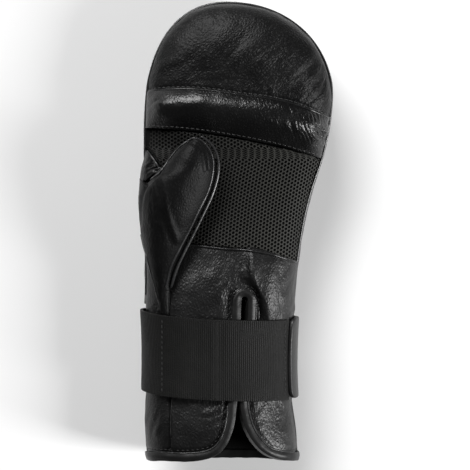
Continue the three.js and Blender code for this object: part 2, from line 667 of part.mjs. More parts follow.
function thumbGrid() {
  const planPoint = ([x, y]) => [x * handHalfWidth, thumbRoot + y * thumbLength];
  const surfaceZ = (x, y) => palmAt(Math.max(x, sides(y, 0).left), y, 0).z;
  return thumbRows.map((row) => {
    const [left, right] = [planPoint(row.left), planPoint(row.right)];
    const baseX = Math.min(right[0], thumbBaseX * handHalfWidth);
    const base = surfaceZ(baseX, (left[1] + right[1]) / 2) + clothGap;
    const height = (share) => base + share * thumbHeight;
    const between = (share, z) =>
      new THREE.Vector3(mix(left[0], right[0], share), mix(left[1], right[1], share), z);
    let start;
    let end;
    if (row.closed) {
      start = between(0.22, height(row.under));
      end = start.clone();
    } else {
      const sideY = thumbRoot + row.side * thumbLength;
      const rootY = thumbRoot + (row.root ?? row.side) * thumbLength;
      const sideAcross = openingAcross(sideY, 'gusset') + (row.sideIn ?? 0) + seamGap / widthAt(sideY);
      const rootAcross = openingAcross(rootY, 'palm') - seamGap / widthAt(rootY);
      start = palm(openingAcross(sideY, 'gusset') > 0.001 || row.sideIn ? sideAcross : 0, sideY, 0);
      end = palm(rootAcross, rootY, 0);
      end.z += Math.min(clothGap, row.top * thumbHeight);
    }
    const weltZ = height(row.welt);
    const leftZ = row.closed ? weltZ : mix(start.z, height(row.top), 0.42);
    const over = steps(8).map((share) => {
      const rim = mix(leftZ, weltZ, share);
      const lift = (height(row.top) - rim) * Math.sin(Math.PI * share) ** 0.75;
      return between(easeBoth(share) * 0.55 + share * 0.45, rim + lift);
    });
    const corner = new THREE.Vector3().lerpVectors(start, over[0], 0.5);
    corner.x = mix(start.x, over[0].x, 0.8);
    const underZ = height(row.under);
    const tuck = [0.12, 0.5].map((share, index) => {
      const x = mix(right[0], end.x, share);
      const y = mix(right[1], end.y, share);
      const floor = surfaceZ(x, y) + clothGap;
      return new THREE.Vector3(x, y, Math.max(mix(weltZ, underZ, index === 0 ? 0.75 : 1), floor));
    });
    return [start, corner, ...over, ...tuck, end];
  });
}

const thumbSkin = thumbGrid();
const thumbNormals = gridNormals(thumbSkin);
const thumbSign = thumbNormals[6][6].z > 0 ? 1 : -1;
const thumbInner = thumbSkin.map((row, i) => row.map((point, j) =>
  point.clone().addScaledVector(thumbNormals[i][j], -thumbSign * panelWall)));
add('thumb_stall', 'leather', shell([{ outer: thumbSkin, inner: thumbInner }]));

// The double piping sewn into the thumb's seam, from the strap to the tip. The profile's places are
// shares of its width along the seam's face and of its height out of it.
const weltProfile = [
  { sideShare: -0.5, outShare: 0 },
  { sideShare: -0.44, outShare: 0.6 },
  { sideShare: -0.24, outShare: 1 },
  { sideShare: 0, outShare: 0.6 },
  { sideShare: 0.24, outShare: 1 },
  { sideShare: 0.44, outShare: 0.6 },
  { sideShare: 0.5, outShare: 0 },
  { sideShare: 0, outShare: -0.02 },
];
function thumbWelt() {
  const [first, last] = [2, 14];
  const points = [];
  for (let i = first; i <= last; i += 1) {
    const base = thumbSkin[i][thumbWeltColumn];
    const forward = thumbSkin[i + 1][thumbWeltColumn].clone().sub(thumbSkin[i - 1][thumbWeltColumn]);
    const outward = thumbNormals[i][thumbWeltColumn].clone().multiplyScalar(thumbSign);
    const face = forward.normalize().cross(outward).normalize();
    for (const { sideShare, outShare } of weltProfile) {
      points.push(base.clone()
        .addScaledVector(face, sideShare * weltWidth)
        .addScaledVector(outward, clothGap + outShare * weltHeight));
    }
  }
  const count = weltProfile.length;
  const faces = [];
  for (let i = 0; i < last - first; i += 1) {
    for (let j = 0; j < count; j += 1) {
      const [a, b] = [i * count + j, i * count + ((j + 1) % count)];
      faces.push([a, b, b + count], [a, b + count, a + count]);
    }
  }
  const end = (last - first) * count;
  for (let j = 0; j + 2 < count; j += 1) {
    faces.push([count - 1, j + 1, j], [end + count - 1, end + j, end + j + 1]);
  }
  add('thumb_welt', 'leather', solid(points, faces));
}
thumbWelt();

// The puckered web between the thumb's crotch and the side of the hand. Low is its edge along the thumb,
// as a share of the thumb's length.
const webEdge = [
  { across: 0, low: 0.809 },
  { across: 0.04, low: 0.807 },
  { across: 0.098, low: 0.839 },
];
const webDip = 1.2;
const webGap = 1.3; // from the palm's cut edge
function thumbWeb() {
  const openingRows = thumbOpening.filter((row) => row.at > 1.4).reverse();
  const tip = webEdge.at(-1);
  const places = steps(4).map((t) => steps(6).map((s) => {
    const across = s * tip.across;
    const low = thumbRoot + along(webEdge, 'across', across, 'low') * thumbLength;
    const high = s === 1 ? low : stationY(along(openingRows, 'palm', across + webGap / widthAt(low), 'at'));
    return [across, mix(low, high, t)];
  }));
  const lift = (point, across, y, i) => {
    const share = across / tip.across;
    return -webDip * Math.sin(Math.PI * (i / 4)) * smooth(0, 0.4, share) * (1 - share);
  };
  add('thumb_web', 'leather', shell([panel(places, webWall, lift)]));
}
thumbWeb();

// The cuff's back half, from side seam to side seam under the strap.
const hemY = (turn) => hemDrop * 0.5 * (1 - smooth(0, 20, Math.min(turn - 180, 360 - turn)));
function cuffSkin(turns, lowY, highY, rows, inset) {
  return steps(rows).map((share) => turns.map((turn) => ring(turn, mix(lowY(turn), highY, share), inset)));
}
const backTurns = steps(16).map((share) => 180 + 180 * share);
const backRaw = (turn) => hemY(turn) + edgeFold;
add('cuff_back', 'leather', shell([{
  outer: cuffSkin(backTurns, backRaw, cuffLength, 7, 0),
  inner: cuffSkin(backTurns, backRaw, cuffLength, 7, panelWall),
}]));

// The black cloth lining that shows inside the cuff through the slit.
const liningTurns = steps(12).map((share) => 192 + 156 * share);
const liningLow = () => tapeWidth + 2 * clothGap;
const liningHigh = cuffLength - clothGap;
add('cuff_lining', 'lining', shell([{
  outer: cuffSkin(liningTurns, liningLow, liningHigh, 5, panelWall + clothGap),
  inner: cuffSkin(liningTurns, liningLow, liningHigh, 5, panelWall + clothGap + liningWall),
}]));

// The leather tape folded over the raw edge: round the back hem, up and down the slit, in one loop.
function edgeBinding() {
  const deepEdge = insideEdge(boundEdge, tapeWidth).map(toAcross);
  const wallEdge = insideEdge(boundEdge, tapeWall).map(toAcross);
  const frontRow = (index) => ({
    edge: (inset) => palm(...toAcross(boundEdge[index]), inset),
    tucked: (inset) => palm(...wallEdge[index], inset),
    deep: (inset) => palm(...deepEdge[index], inset),
  });
  const backRow = (turn) => ({
    edge: (inset) => ring(turn, hemY(turn), inset),
    tucked: (inset) => ring(turn, hemY(turn) + tapeWall, inset),
    deep: (inset) => ring(turn, hemY(turn) + tapeWidth, inset),
  });
  const front = boundEdge.map((_, index) => frontRow(index)).slice(1, -1).reverse();
  const rows = [...backTurns.map(backRow), ...front];
  rows.push(rows[0]);
  const [near, far] = [-clothGap, panelWall + clothGap];
  const outer = rows.map(({ edge, deep }) => [
    deep(near - tapeWall), edge(near - tapeWall), edge(far + tapeWall), deep(far + tapeWall),
  ]);
  const inner = rows.map(({ tucked, deep }) => [deep(near), tucked(near), tucked(far), deep(far)]);
  add('edge_binding', 'binding', shell([{ outer, inner }]));
}
edgeBinding();

// The strap: elastic round the palm side, then a tab with the sewn patch round the back. Middle is the
// strap's middle as a share of the cuff's length, and the lifts are shares of the binding's thickness.
const strapRoute = [
  { turn: 0, middle: 0.658 },
  { turn: 90, middle: 0.663 },
  { turn: 180, middle: 0.724 },
  { turn: 270, middle: 0.704 },
  { turn: 360, middle: 0.673 },
  { turn: 390, middle: 0.663 },
];
const elasticLifts = [
  { turn: 27, lift: 0.5 },
  { turn: 45, lift: 0.9 },
  { turn: 60, lift: 1.2 },
  { turn: 105, lift: 1.2 },
  { turn: 120, lift: 1.9 },
  { turn: 138, lift: 2 },
  { turn: 155, lift: 1.6 },
  { turn: 185, lift: 0.4 },
  { turn: 216, lift: 0.25 },
];
const elasticAngle = { first: 27, last: 216 };
const tabAngle = { first: 186, clear: 217, down: 232, rise: 340, side: 352, last: 386 };
const tabRise = 1.2; // how far its free end stands off the palm side
const bindingHeight = clothGap + tapeWall + rimGap;
const elasticLift = (turn) => along(elasticLifts, 'turn', turn, 'lift') * bindingHeight;
const tabLift = (turn) => {
  const overElastic = elasticLift(Math.min(turn, tabAngle.clear)) + elasticWall + clothGap;
  const down = mix(overElastic, clothGap, smooth(tabAngle.clear, tabAngle.down, turn));
  return down + tabRise * smooth(tabAngle.rise, tabAngle.side, turn);
};

function strapBand(turns, lift, wall, halfHeight) {
  const skin = (depth) => turns.map((turn) => steps(3).map((share) => {
    const middle = along(strapRoute, 'turn', turn, 'middle') * cuffLength;
    const y = middle + mix(-1, 1, share) * halfHeight(turn);
    return ring(turn, y, -lift(turn) - depth);
  }));
  return shell([{ outer: skin(wall), inner: skin(0) }]);
}

const elasticTurns = steps(24).map((share) => mix(elasticAngle.first, elasticAngle.last, share));
add('elastic_band', 'elastic', strapBand(elasticTurns, elasticLift, elasticWall, () => strapWidth / 2));

// The free end's rounded corners, in degrees for each millimetre round the little finger side.
const anglePerLength = 39 / cuffDepth;
const cornerShares = [1, 0.5, 0.2, 0];
const tabEnds = cornerShares.map((share) => tabAngle.last - share * tabCorner * anglePerLength);
const tabStraight = tabEnds[0] - 4;
const tabTurns = [...steps(24).map((share) => mix(tabAngle.first, tabStraight, share)), ...tabEnds];
const tabHalf = (turn) => {
  const distance = (tabAngle.last - turn) / anglePerLength;
  const bite = clamp(tabCorner - distance, 0, tabCorner);
  return strapWidth / 2 - tabCorner + Math.sqrt(tabCorner ** 2 - bite ** 2);
};
add('strap_tab', 'leather', strapBand(tabTurns, tabLift, tabWall, tabHalf));

// The blank patch sewn on the back of the tab.
function strapPatch() {
  const y = along(strapRoute, 'turn', 270, 'middle') * cuffLength;
  const { left, right } = sides(y, -tabWall);
  const reach = patchWidth / (right - left);
  const swing = (share) => THREE.MathUtils.radToDeg(Math.asin(Math.abs(share) ** 1.1));
  const turns = steps(12).map((share) => mix(-reach, reach, share)).map((x) => 270 + Math.sign(x) * swing(x));
  const lift = (turn) => tabLift(turn) + tabWall + 0.6 * clothGap;
  add('strap_patch', 'patch', strapBand(turns, lift, patchWall, () => patchHeight / 2));
}
strapPatch();

// The origin lies under the middle of the whole mitt, on the surface that it rests on.
const middle = new THREE.Box3().setFromObject(glove).getCenter(new THREE.Vector3());
glove.position.set(-middle.x, -middle.y, 0);

export default glove;
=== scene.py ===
import math

import bmesh
import bpy
import numpy as np
from mathutils import Matrix, Vector, noise
from mathutils.bvhtree import BVHTree
from mathutils.geometry import interpolate_bezier
from mathutils.kdtree import KDTree


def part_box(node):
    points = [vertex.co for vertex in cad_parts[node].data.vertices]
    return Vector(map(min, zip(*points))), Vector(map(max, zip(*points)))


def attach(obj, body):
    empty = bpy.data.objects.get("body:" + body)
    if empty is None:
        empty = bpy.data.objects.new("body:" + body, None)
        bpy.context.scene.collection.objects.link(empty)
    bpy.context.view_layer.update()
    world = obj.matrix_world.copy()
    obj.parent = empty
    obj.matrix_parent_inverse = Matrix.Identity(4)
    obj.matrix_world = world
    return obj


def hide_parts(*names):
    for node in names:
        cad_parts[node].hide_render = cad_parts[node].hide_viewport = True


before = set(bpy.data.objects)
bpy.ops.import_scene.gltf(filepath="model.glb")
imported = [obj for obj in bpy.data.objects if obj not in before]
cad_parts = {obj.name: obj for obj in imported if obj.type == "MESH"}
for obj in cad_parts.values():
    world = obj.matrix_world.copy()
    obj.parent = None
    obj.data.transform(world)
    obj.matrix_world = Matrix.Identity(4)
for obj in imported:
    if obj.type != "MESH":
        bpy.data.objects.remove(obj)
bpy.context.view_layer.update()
MM = 0.001

# The view: straight down on the palm side, fingertips at the top of the picture. A long lens keeps
# the sides of the mitt out of sight, and the palm's seams lie at the picture's scale.
PICTURE_WIDTH = 293.75 * MM
LENS = 180.0
SENSOR = 36.0
SEAM_HEIGHT = 45 * MM
VIEW_MIDDLE = (0.0, -2.2 * MM)
camera = bpy.data.objects.new("camera", bpy.data.cameras.new("camera"))
bpy.context.collection.objects.link(camera)
camera.data.lens = LENS
camera.data.sensor_width = SENSOR
camera.location = (*VIEW_MIDDLE, SEAM_HEIGHT + PICTURE_WIDTH * LENS / SENSOR)
camera.data.clip_start = 0.05
bpy.context.scene.camera = camera
bpy.context.scene.view_settings.view_transform = "Standard"

# The studio: a large soft light beyond the fingertips on the thumb side, a smaller one from the
# little finger side of the cuff, a weak one beside the thumb, and a little light from all round.
world = bpy.data.worlds.new("studio")
bpy.context.scene.world = world
world.use_nodes = True
world.node_tree.nodes["Background"].inputs["Color"].default_value = (1.0, 1.0, 1.0, 1)
world.node_tree.nodes["Background"].inputs["Strength"].default_value = 0.06


def lamp(name, place, size, power):
    light = bpy.data.lights.new(name, "AREA")
    light.shape = "RECTANGLE"
    light.size, light.size_y = size
    light.energy = power
    holder = bpy.data.objects.new(name, light)
    bpy.context.collection.objects.link(holder)
    holder.location = place
    holder.rotation_euler = (Vector((0, 0, SEAM_HEIGHT)) - Vector(place)).to_track_quat("-Z", "Y").to_euler()


lamp("fingertip_light", (-0.85, 1.88, 1.83), (1.7, 1.05), 82)
lamp("little_finger_light", (1.75, -0.52, 1.15), (0.5, 0.9), 47)
lamp("thumb_light", (-1.6, 0.9, 1.1), (0.35, 0.9), 4)


# The floor: plain pale paper under the mitt, slightly cloudy and dull, and so wide that its edges
# stay out of the picture.
class Socket:
    """A number, colour or vector that varies over a surface; arithmetic on it adds nodes."""

    def __init__(self, finish, socket):
        self.finish = finish
        self.socket = socket

    def maths(self, operation, *others, swap=False):
        values = [*others, self] if swap else [self, *others]
        return self.finish.node("ShaderNodeMath", {"operation": operation}, values)

    def __add__(self, other):
        return self.maths("ADD", other)

    def __sub__(self, other):
        return self.maths("SUBTRACT", other)

    def __rsub__(self, other):
        return self.maths("SUBTRACT", other, swap=True)

    def __mul__(self, other):
        return self.maths("MULTIPLY", other)

    __radd__ = __add__
    __rmul__ = __mul__

    def between(self, low, high):
        """0 at low and 1 at high, smooth between them."""
        settings = {"interpolation_type": "SMOOTHSTEP"}
        sockets = {"Value": self, "From Min": low, "From Max": high}
        return self.finish.node("ShaderNodeMapRange", settings, sockets)


class Finish:
    """One material, built round its Principled BSDF."""

    def __init__(self, name):
        self.material = bpy.data.materials.new(name)
        self.material.use_nodes = True
        self.surface = self.material.node_tree.nodes["Principled BSDF"]

    def feed(self, made, sockets):
        for name, value in sockets.items() if isinstance(sockets, dict) else enumerate(sockets):
            if isinstance(value, Socket):
                self.material.node_tree.links.new(value.socket, made.inputs[name])
            else:
                made.inputs[name].default_value = value

    def node(self, kind, settings, sockets, output=0):
        made = self.material.node_tree.nodes.new(kind)
        for name, value in settings.items():
            setattr(made, name, value)
        self.feed(made, sockets)
        return Socket(self, made.outputs[output])

    def place(self):
        return self.node("ShaderNodeTexCoord", {}, {}, output="Object")

    def mark(self, name):
        """A number that the piece's points carry."""
        return self.node("ShaderNodeAttribute", {"attribute_name": name}, {}, output="Fac")

    def turned(self, place, bearing, stretch):
        """The place turned so that a pattern runs along the bearing, and stretched along it."""
        sockets = {"Vector": place, "Rotation": (0, 0, math.radians(bearing)), "Scale": (stretch, 1, 1)}
        return self.node("ShaderNodeMapping", {"vector_type": "TEXTURE"}, sockets)

    def cloud(self, place, size, detail=2.0):
        """Noise from 0 to 1 with lumps of this size in millimetres."""
        sockets = {"Vector": place, "Scale": 1 / (size * MM), "Detail": detail}
        return self.node("ShaderNodeTexNoise", {}, sockets)

    def cells(self, place, size):
        """The distance to the nearest border between cells of this size, as a share of it."""
        sockets = {"Vector": place, "Scale": 1 / (size * MM)}
        return self.node("ShaderNodeTexVoronoi", {"feature": "DISTANCE_TO_EDGE"}, sockets)

    def tint(self, mask, low, high):
        """A colour between two, by a mask from 0 to 1."""
        sockets = {0: mask, 6: (*low, 1), 7: (*high, 1)}
        return self.node("ShaderNodeMix", {"data_type": "RGBA"}, sockets, output=2)

    def relief(self, height):
        """A bump from a height in millimetres."""
        return self.node("ShaderNodeBump", {}, {"Height": height, "Distance": MM, "Strength": 1.0})

    def done(self, sockets):
        self.feed(self.surface, sockets)
        return self.material


PAPER_SIZE = 3.0
paper = Finish("pale_paper")
paper_cloud = paper.cloud(paper.place(), 300)
floor_plan = bmesh.new()
bmesh.ops.create_grid(floor_plan, x_segments=1, y_segments=1, size=PAPER_SIZE)
floor_mesh = bpy.data.meshes.new("floor")
floor_plan.to_mesh(floor_mesh)
floor_plan.free()
floor = bpy.data.objects.new("floor", floor_mesh)
bpy.context.collection.objects.link(floor)
floor.data.materials.append(paper.done({
    "Base Color": paper.tint(paper_cloud, (0.84, 0.84, 0.84), (0.88, 0.88, 0.88)), "Roughness": 0.8,
}))


# The padded back: thick foam under one skin of leather, stitched down along two horseshoe channels.
# The leather is gathered at the stitches, so short puckers run out from both sides of each channel.
def leather(name, tone=0.0025, gloss=0.33, bearing=0.0, crease=0.35, grain=0.11, shine=0.42):
    """Black pebbled leather. Its fine wrinkles run along the bearing and deepen where it is gathered."""
    finish = Finish(name)
    place = finish.place()
    gathered = finish.mark("gather")
    worn = finish.cloud(place, 22, 3)
    pebbles = finish.cells(finish.turned(place, bearing, 1.4), 1.7).between(0.0, 0.5)
    pores = finish.cloud(place, 0.7, 2)
    wrinkles = (finish.cloud(finish.turned(place, bearing, 3.5), 2.6, 3) * 2 - 1).maths("ABSOLUTE")
    coarse = (finish.cloud(finish.turned(place, bearing + 20, 2.5), 5.5, 3) * 2 - 1).maths("ABSOLUTE")
    depth = gathered * crease + 0.1
    height = pebbles * grain + pores * (grain * 0.5) + wrinkles * depth + coarse * (depth * 0.9)
    rubbed = (pebbles * 0.4 + worn * 0.6).between(0.2, 0.85)
    return finish.done({
        "Base Color": finish.tint(rubbed, (tone, tone, tone * 1.04), (tone * 2.1, tone * 2.1, tone * 2.1)),
        "Roughness": worn.between(0.25, 0.75) * 0.08 + (gloss - 0.04),
        "Specular IOR Level": shine, "Normal": finish.relief(height),
    })


RIM_ANGLE = math.radians(48)
FACET_TURN = math.radians(35)
FACET_SKEW = math.radians(60)
WELD = 0.002 * MM


def soft_copy(node, rounds, border=0.7):
    """A piece of the frame as soft goods: facets joined to quads, borders rounded, faces divided."""
    work = bmesh.new()
    work.from_mesh(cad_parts[node].data)
    bmesh.ops.remove_doubles(work, verts=work.verts, dist=WELD)
    bmesh.ops.join_triangles(
        work, faces=work.faces, angle_face_threshold=FACET_TURN, angle_shape_threshold=FACET_SKEW)
    rims = [edge for edge in work.edges if edge.calc_face_angle(0) > RIM_ANGLE]
    bmesh.ops.bevel(
        work, geom=rims, offset=border * MM, segments=2, profile=0.5, affect="EDGES", clamp_overlap=True,
        material=-1)
    piece = as_piece(work, node + "_skin")
    smoother = piece.modifiers.new("smooth", "SUBSURF")
    smoother.levels = smoother.render_levels = rounds
    apply_modifiers(piece)
    return piece


def as_piece(work, name):
    mesh = bpy.data.meshes.new(name)
    work.to_mesh(mesh)
    work.free()
    mesh.shade_smooth()
    piece = bpy.data.objects.new(name, mesh)
    bpy.context.collection.objects.link(piece)
    return piece


def apply_modifiers(piece):
    graph = bpy.context.evaluated_depsgraph_get()
    mesh = bpy.data.meshes.new_from_object(piece.evaluated_get(graph))
    piece.modifiers.clear()
    piece.data = mesh
    mesh.shade_smooth()


def points_of(piece):
    """Where the piece's points are, in millimetres, and which way the surface faces there."""
    mesh = piece.data
    places = np.empty(3 * len(mesh.vertices), dtype=np.float32)
    facing = np.empty_like(places)
    mesh.vertices.foreach_get("co", places)
    mesh.vertex_normals.foreach_get("vector", facing)
    return places.reshape(-1, 3) / MM, facing.reshape(-1, 3)


def move_points(piece, places):
    piece.data.vertices.foreach_set("co", (places * MM).astype(np.float32).ravel())
    piece.data.update()


def push(piece, height):
    """Moves each point out along the surface's normal by its height in millimetres."""
    places, facing = points_of(piece)
    move_points(piece, places + facing * height[:, None])


def mark(piece, name, values):
    """Gives each point a number that a finish can read."""
    layer = piece.data.attributes.new(name, "FLOAT", "POINT")
    layer.data.foreach_set("value", values.astype(np.float32))


def clouds(places, size, seed):
    """Smooth noise round 0 with lumps of this size."""
    shift = Vector((seed * 7.3, seed * 3.1, seed * 5.7))
    return np.array([noise.noise(Vector(place) + shift) for place in (places / size).tolist()])


def wrinkles(places, spacing, bearing, stretch, seed):
    """Rounded wrinkles with sharp valleys, from 0 to about 1, that run along the bearing in plan."""
    turn = math.radians(bearing)
    along = places @ (math.cos(turn), math.sin(turn), 0)
    across = places @ (-math.sin(turn), math.cos(turn), 0)
    wander = clouds(places, 5 * spacing, seed + 1)
    spread = np.stack([along / stretch, across + spacing * wander, places[:, 2] * 0.5], axis=1)
    return np.abs(clouds(spread, spacing, seed)) * 2.2


def pleats(places, spacing, bearing, seed):
    """Even fine pleats, from 0 to 1, that run along the bearing in plan."""
    turn = math.radians(bearing)
    across = places @ (-math.sin(turn), math.cos(turn), 0)
    wander = clouds(places, 5 * spacing, seed)
    return 0.5 + 0.5 * np.sin(2 * math.pi * (across / spacing + 0.7 * wander))


def near(places, at, reach):
    """1 at a place in plan, fading out over this reach in x and y."""
    away = (places[:, :2] - at) / reach
    return np.exp(-(away ** 2).sum(axis=1))


def line_ways(places, line):
    """Each point's distance from a line of points, and how far along the line its nearest place is."""
    finder = KDTree(len(line))
    for index, point in enumerate(line):
        finder.insert(point, index)
    finder.balance()
    steps = np.linalg.norm(np.diff(line, axis=0), axis=1)
    length = np.concatenate([[0], np.cumsum(steps)])
    found = [finder.find(place) for place in places.tolist()]
    return np.array([hit[2] for hit in found]), length[[hit[1] for hit in found]]


def curve_through(points, step):
    """Points this far apart on a smooth curve through a few, in the plane or in space."""
    knots = [Vector((*point, 0)[:3]) for point in points]
    knots = [2 * knots[0] - knots[1], *knots, 2 * knots[-1] - knots[-2]]
    fine = []
    for before, start, end, after in zip(knots, knots[1:], knots[2:], knots[3:]):
        leaving, arriving = start + (end - before) / 6, end - (after - start) / 6
        fine += interpolate_bezier(start, leaving, arriving, end, 17)[:-1]
    fine.append(knots[-2])
    return spaced(np.array(fine), step)


def spaced(line, step):
    """The line's points taken again, this far apart along it."""
    ways = np.concatenate([[0], np.cumsum(np.linalg.norm(np.diff(line, axis=0), axis=1))])
    at = np.linspace(0, ways[-1], max(round(ways[-1] / step), 1) + 1)
    return np.stack([np.interp(at, ways, line[:, axis]) for axis in range(3)], axis=1)


def dress(piece, node, finish):
    """Gives a piece its finish, hangs it on the root body and hides the frame piece it stands for."""
    piece.data.materials.clear()
    piece.data.materials.append(finish)
    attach(piece, "root")
    if node:
        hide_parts(node)


def edge_lines(node, wanted):
    """The lines that a frame piece's wanted edges make, in millimetres, each from its left end."""
    work = bmesh.new()
    work.from_mesh(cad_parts[node].data)
    bmesh.ops.remove_doubles(work, verts=work.verts, dist=WELD)
    work.normal_update()
    unused = dict.fromkeys(edge for edge in work.edges if wanted(edge))
    lines = []
    while unused:
        line = list(unused.popitem()[0].verts)
        for _ in range(2):
            line.reverse()
            onward = True
            while onward:
                onward = next((edge for edge in line[-1].link_edges if edge in unused), None)
                if onward:
                    del unused[onward]
                    line.append(onward.other_vert(line[-1]))
        if line[0].co.x > line[-1].co.x:
            line.reverse()
        lines.append(np.array([vert.co / MM for vert in line]))
    work.free()
    return sorted(lines, key=len, reverse=True)


VALLEY_TURN = -0.35
CHANNEL_TOP = 20 * MM
SIDE_SEAM_LOW = 30 * MM
PAD_MIDDLE = Vector((0, -20 * MM, 0))
SIDE_LEAN = 0.5
TOP_LEAN = 0.7


def is_channel(edge):
    """Whether an edge lies at the bottom of a channel in the pad's back."""
    is_valley = edge.calc_face_angle_signed(0) < VALLEY_TURN and edge.link_faces[0].normal.z < 0
    return is_valley and max(end.co.z for end in edge.verts) < CHANNEL_TOP


def is_side_seam(edge):
    """Whether an edge runs round the outer rim of the pad, where its side meets the palm side."""
    is_rim = edge.calc_face_angle(0) > RIM_ANGLE
    is_high = min(end.co.z for end in edge.verts) > SIDE_SEAM_LOW
    outward = (edge.verts[0].co + edge.verts[1].co) / 2 - PAD_MIDDLE
    lean = [face.normal for face in edge.link_faces]
    is_outer = any(normal.z < SIDE_LEAN and normal.xy.dot(outward.xy) > 0 for normal in lean)
    return is_rim and is_high and is_outer and any(normal.z > TOP_LEAN for normal in lean)


FLOOR_CLEARANCE = 0.05
PILLOW = 1.6
TUCK_DEPTH = 1.5
TUCK_PITCH = 3.4
SIDE_TUCK_PITCH = 6.0
CHANNEL_REACH = 7
TUCK_REACH = 8
PALM_SIDE_LEAN = 0.35
back_pad = soft_copy("back_pad", 3)
places, facing = points_of(back_pad)
outside = (facing[:, 2] < PALM_SIDE_LEAN) * 1.0
swell = np.zeros(len(places))
pad_gather = np.zeros(len(places))
channels = [curve_through(line, 0.5) for line in edge_lines("back_pad", is_channel)[:2]]
for seed, line in enumerate(channels):
    away, along = line_ways(places, line)
    tucks = np.stack([along / TUCK_PITCH, away / 11, np.full(len(away), seed * 9.0)], axis=1)
    swell -= PILLOW * np.exp(-(away / CHANNEL_REACH) ** 2)
    swell -= TUCK_DEPTH * np.exp(-(away / TUCK_REACH) ** 2) * np.abs(clouds(tucks, 1, 40 + seed)) * 2
    pad_gather += np.exp(-(away / 12) ** 2)
swell += 0.35 * clouds(places, 14, 3) + 0.25 * clouds(places, 6, 4)
side_seam = curve_through(edge_lines("back_pad", is_side_seam)[0], 0.5)
away, along = line_ways(places, side_seam)
tucks = np.stack([along / SIDE_TUCK_PITCH, away / 9, np.full(len(away), 5.0)], axis=1)
near_side_seam = np.exp(-(away / TUCK_REACH) ** 2)
swell -= np.exp(-(away / 4) ** 2) + 0.9 * near_side_seam * np.abs(clouds(tucks, 1, 50))
pad_gather += 0.5 * near_side_seam
push(back_pad, swell * outside)
places, facing = points_of(back_pad)
places[:, 2] = places[:, 2].clip(FLOOR_CLEARANCE)
move_points(back_pad, places)
mark(back_pad, "gather", pad_gather.clip(0, 1))
dress(back_pad, "back_pad", leather("pad_leather", bearing=0, crease=0.25))


def spun(name, tone, gloss):
    """A finish of waxed thread."""
    waxed = Finish(name)
    twist = waxed.cloud(waxed.place(), 0.6, 2)
    light = 2.5 * tone
    return waxed.done({
        "Base Color": waxed.tint(twist, (tone, tone, tone), (light, light, light)), "Roughness": gloss,
        "Normal": waxed.relief(twist * 0.1),
    })


thread = spun("waxed_thread", 0.011, 0.4)
black_thread = spun("black_thread", 0.003, 0.5)


def surface_of(piece):
    return BVHTree.FromObject(piece, bpy.context.evaluated_depsgraph_get())


FAR = 300


def laid_on(line, pieces, toward=(0, 0, -1)):
    """A line's points moved from outside onto whichever of the pieces each meets first."""
    surfaces = [surface_of(piece) for piece in pieces]
    way = Vector(toward)
    met = []
    for point in line:
        start = Vector(point) - FAR * way
        hits = [surface.ray_cast(start * MM, way) for surface in surfaces]
        hits = [hit for hit in hits if hit[0] is not None]
        if hits:
            met.append(min(hits, key=lambda hit: hit[3])[0] / MM)
    return np.array(met)


STITCH_PITCH = 3.2
STITCH_LENGTH = 2.3
STITCH_THICKNESS = 0.75


def sew(name, line, yarn=thread):
    """A row of stitches, half sunk in the surface, along a line that lies on it."""
    row = bmesh.new()
    at = spaced(line, STITCH_PITCH)
    for start, end in zip(at, at[1:]):
        turn = Vector(end - start).to_track_quat("Z", "Y").to_matrix().to_4x4()
        size = Matrix.Diagonal((STITCH_THICKNESS / 2, STITCH_THICKNESS / 2, STITCH_LENGTH / 2, 1))
        place = Matrix.Translation(Vector((start + end) / 2) * MM) @ turn @ Matrix.Scale(MM, 4) @ size
        bmesh.ops.create_uvsphere(row, u_segments=6, v_segments=4, radius=1, matrix=place)
    dress(as_piece(row, name), None, yarn)


def edged(name, line, radius, finish):
    """A thin round fold or piping of leather along a line."""
    path = bpy.data.curves.new(name, "CURVE")
    path.dimensions = "3D"
    path.bevel_depth = radius * MM
    path.bevel_resolution = 2
    path.use_fill_caps = True
    run = path.splines.new("POLY")
    run.points.add(len(line) - 1)
    for point, place in zip(run.points, line):
        point.co = (*(place * MM), 1)
    curve = bpy.data.objects.new(name + "_path", path)
    bpy.context.collection.objects.link(curve)
    mesh = bpy.data.meshes.new_from_object(curve)
    bpy.data.objects.remove(curve)
    mesh.name = name
    mesh.shade_smooth()
    piece = bpy.data.objects.new(name, mesh)
    bpy.context.collection.objects.link(piece)
    dress(piece, None, finish)


SIDE_PIPING_END = -40
SIDE_PIPING_RADIUS = 0.9
side_line = side_seam[side_seam[:, 1] > SIDE_PIPING_END]
# The side piping's leather is painted lighter than the pad's, as a painted highlight along the rim.
side_piping = leather("side_piping_leather", tone=0.01, gloss=0.3, grain=0.02, crease=0.05, shine=0.6)
edged("side_seam_piping", side_line, SIDE_PIPING_RADIUS, side_piping)
for name, line in zip(("inner_channel_stitches", "outer_channel_stitches"), channels):
    sew(name, laid_on(line, [back_pad], toward=(0, 0, 1)))


# The cuff's back: one leather round the back half of the wrist, over thin foam, sewn to the pad.
# Its black cloth lining is stretched inside it, and shows through the slit.
def soften(piece, lump=0.3, folds=(), hollows=(), seed=1):
    """Gives a leather piece its slight lumps, its wrinkled places and how gathered it is there."""
    places, facing = points_of(piece)
    height = lump * clouds(places, 16, seed) + 0.5 * lump * clouds(places, 6.5, seed + 5)
    gather = np.zeros(len(places))
    for index, fold in enumerate(folds):
        here = near(places, fold["at"], fold["reach"])
        fold_seed = 20 * seed + 3 * index
        if "stretch" in fold:
            ridges = wrinkles(places, fold["spacing"], fold["bearing"], fold["stretch"], fold_seed)
        else:
            ridges = pleats(places, fold["spacing"], fold["bearing"], fold_seed)
        height += fold["height"] * here * (ridges - 0.5)
        gather += fold.get("gather", 1) * here
    for hollow in hollows:
        height -= hollow["depth"] * near(places, hollow["at"], hollow["reach"])
    push(piece, height)
    mark(piece, "gather", gather.clip(0, 1))


cuff_back = soft_copy("cuff_back", 2)
soften(cuff_back, seed=2)
dress(cuff_back, "cuff_back", leather("cuff_leather"))


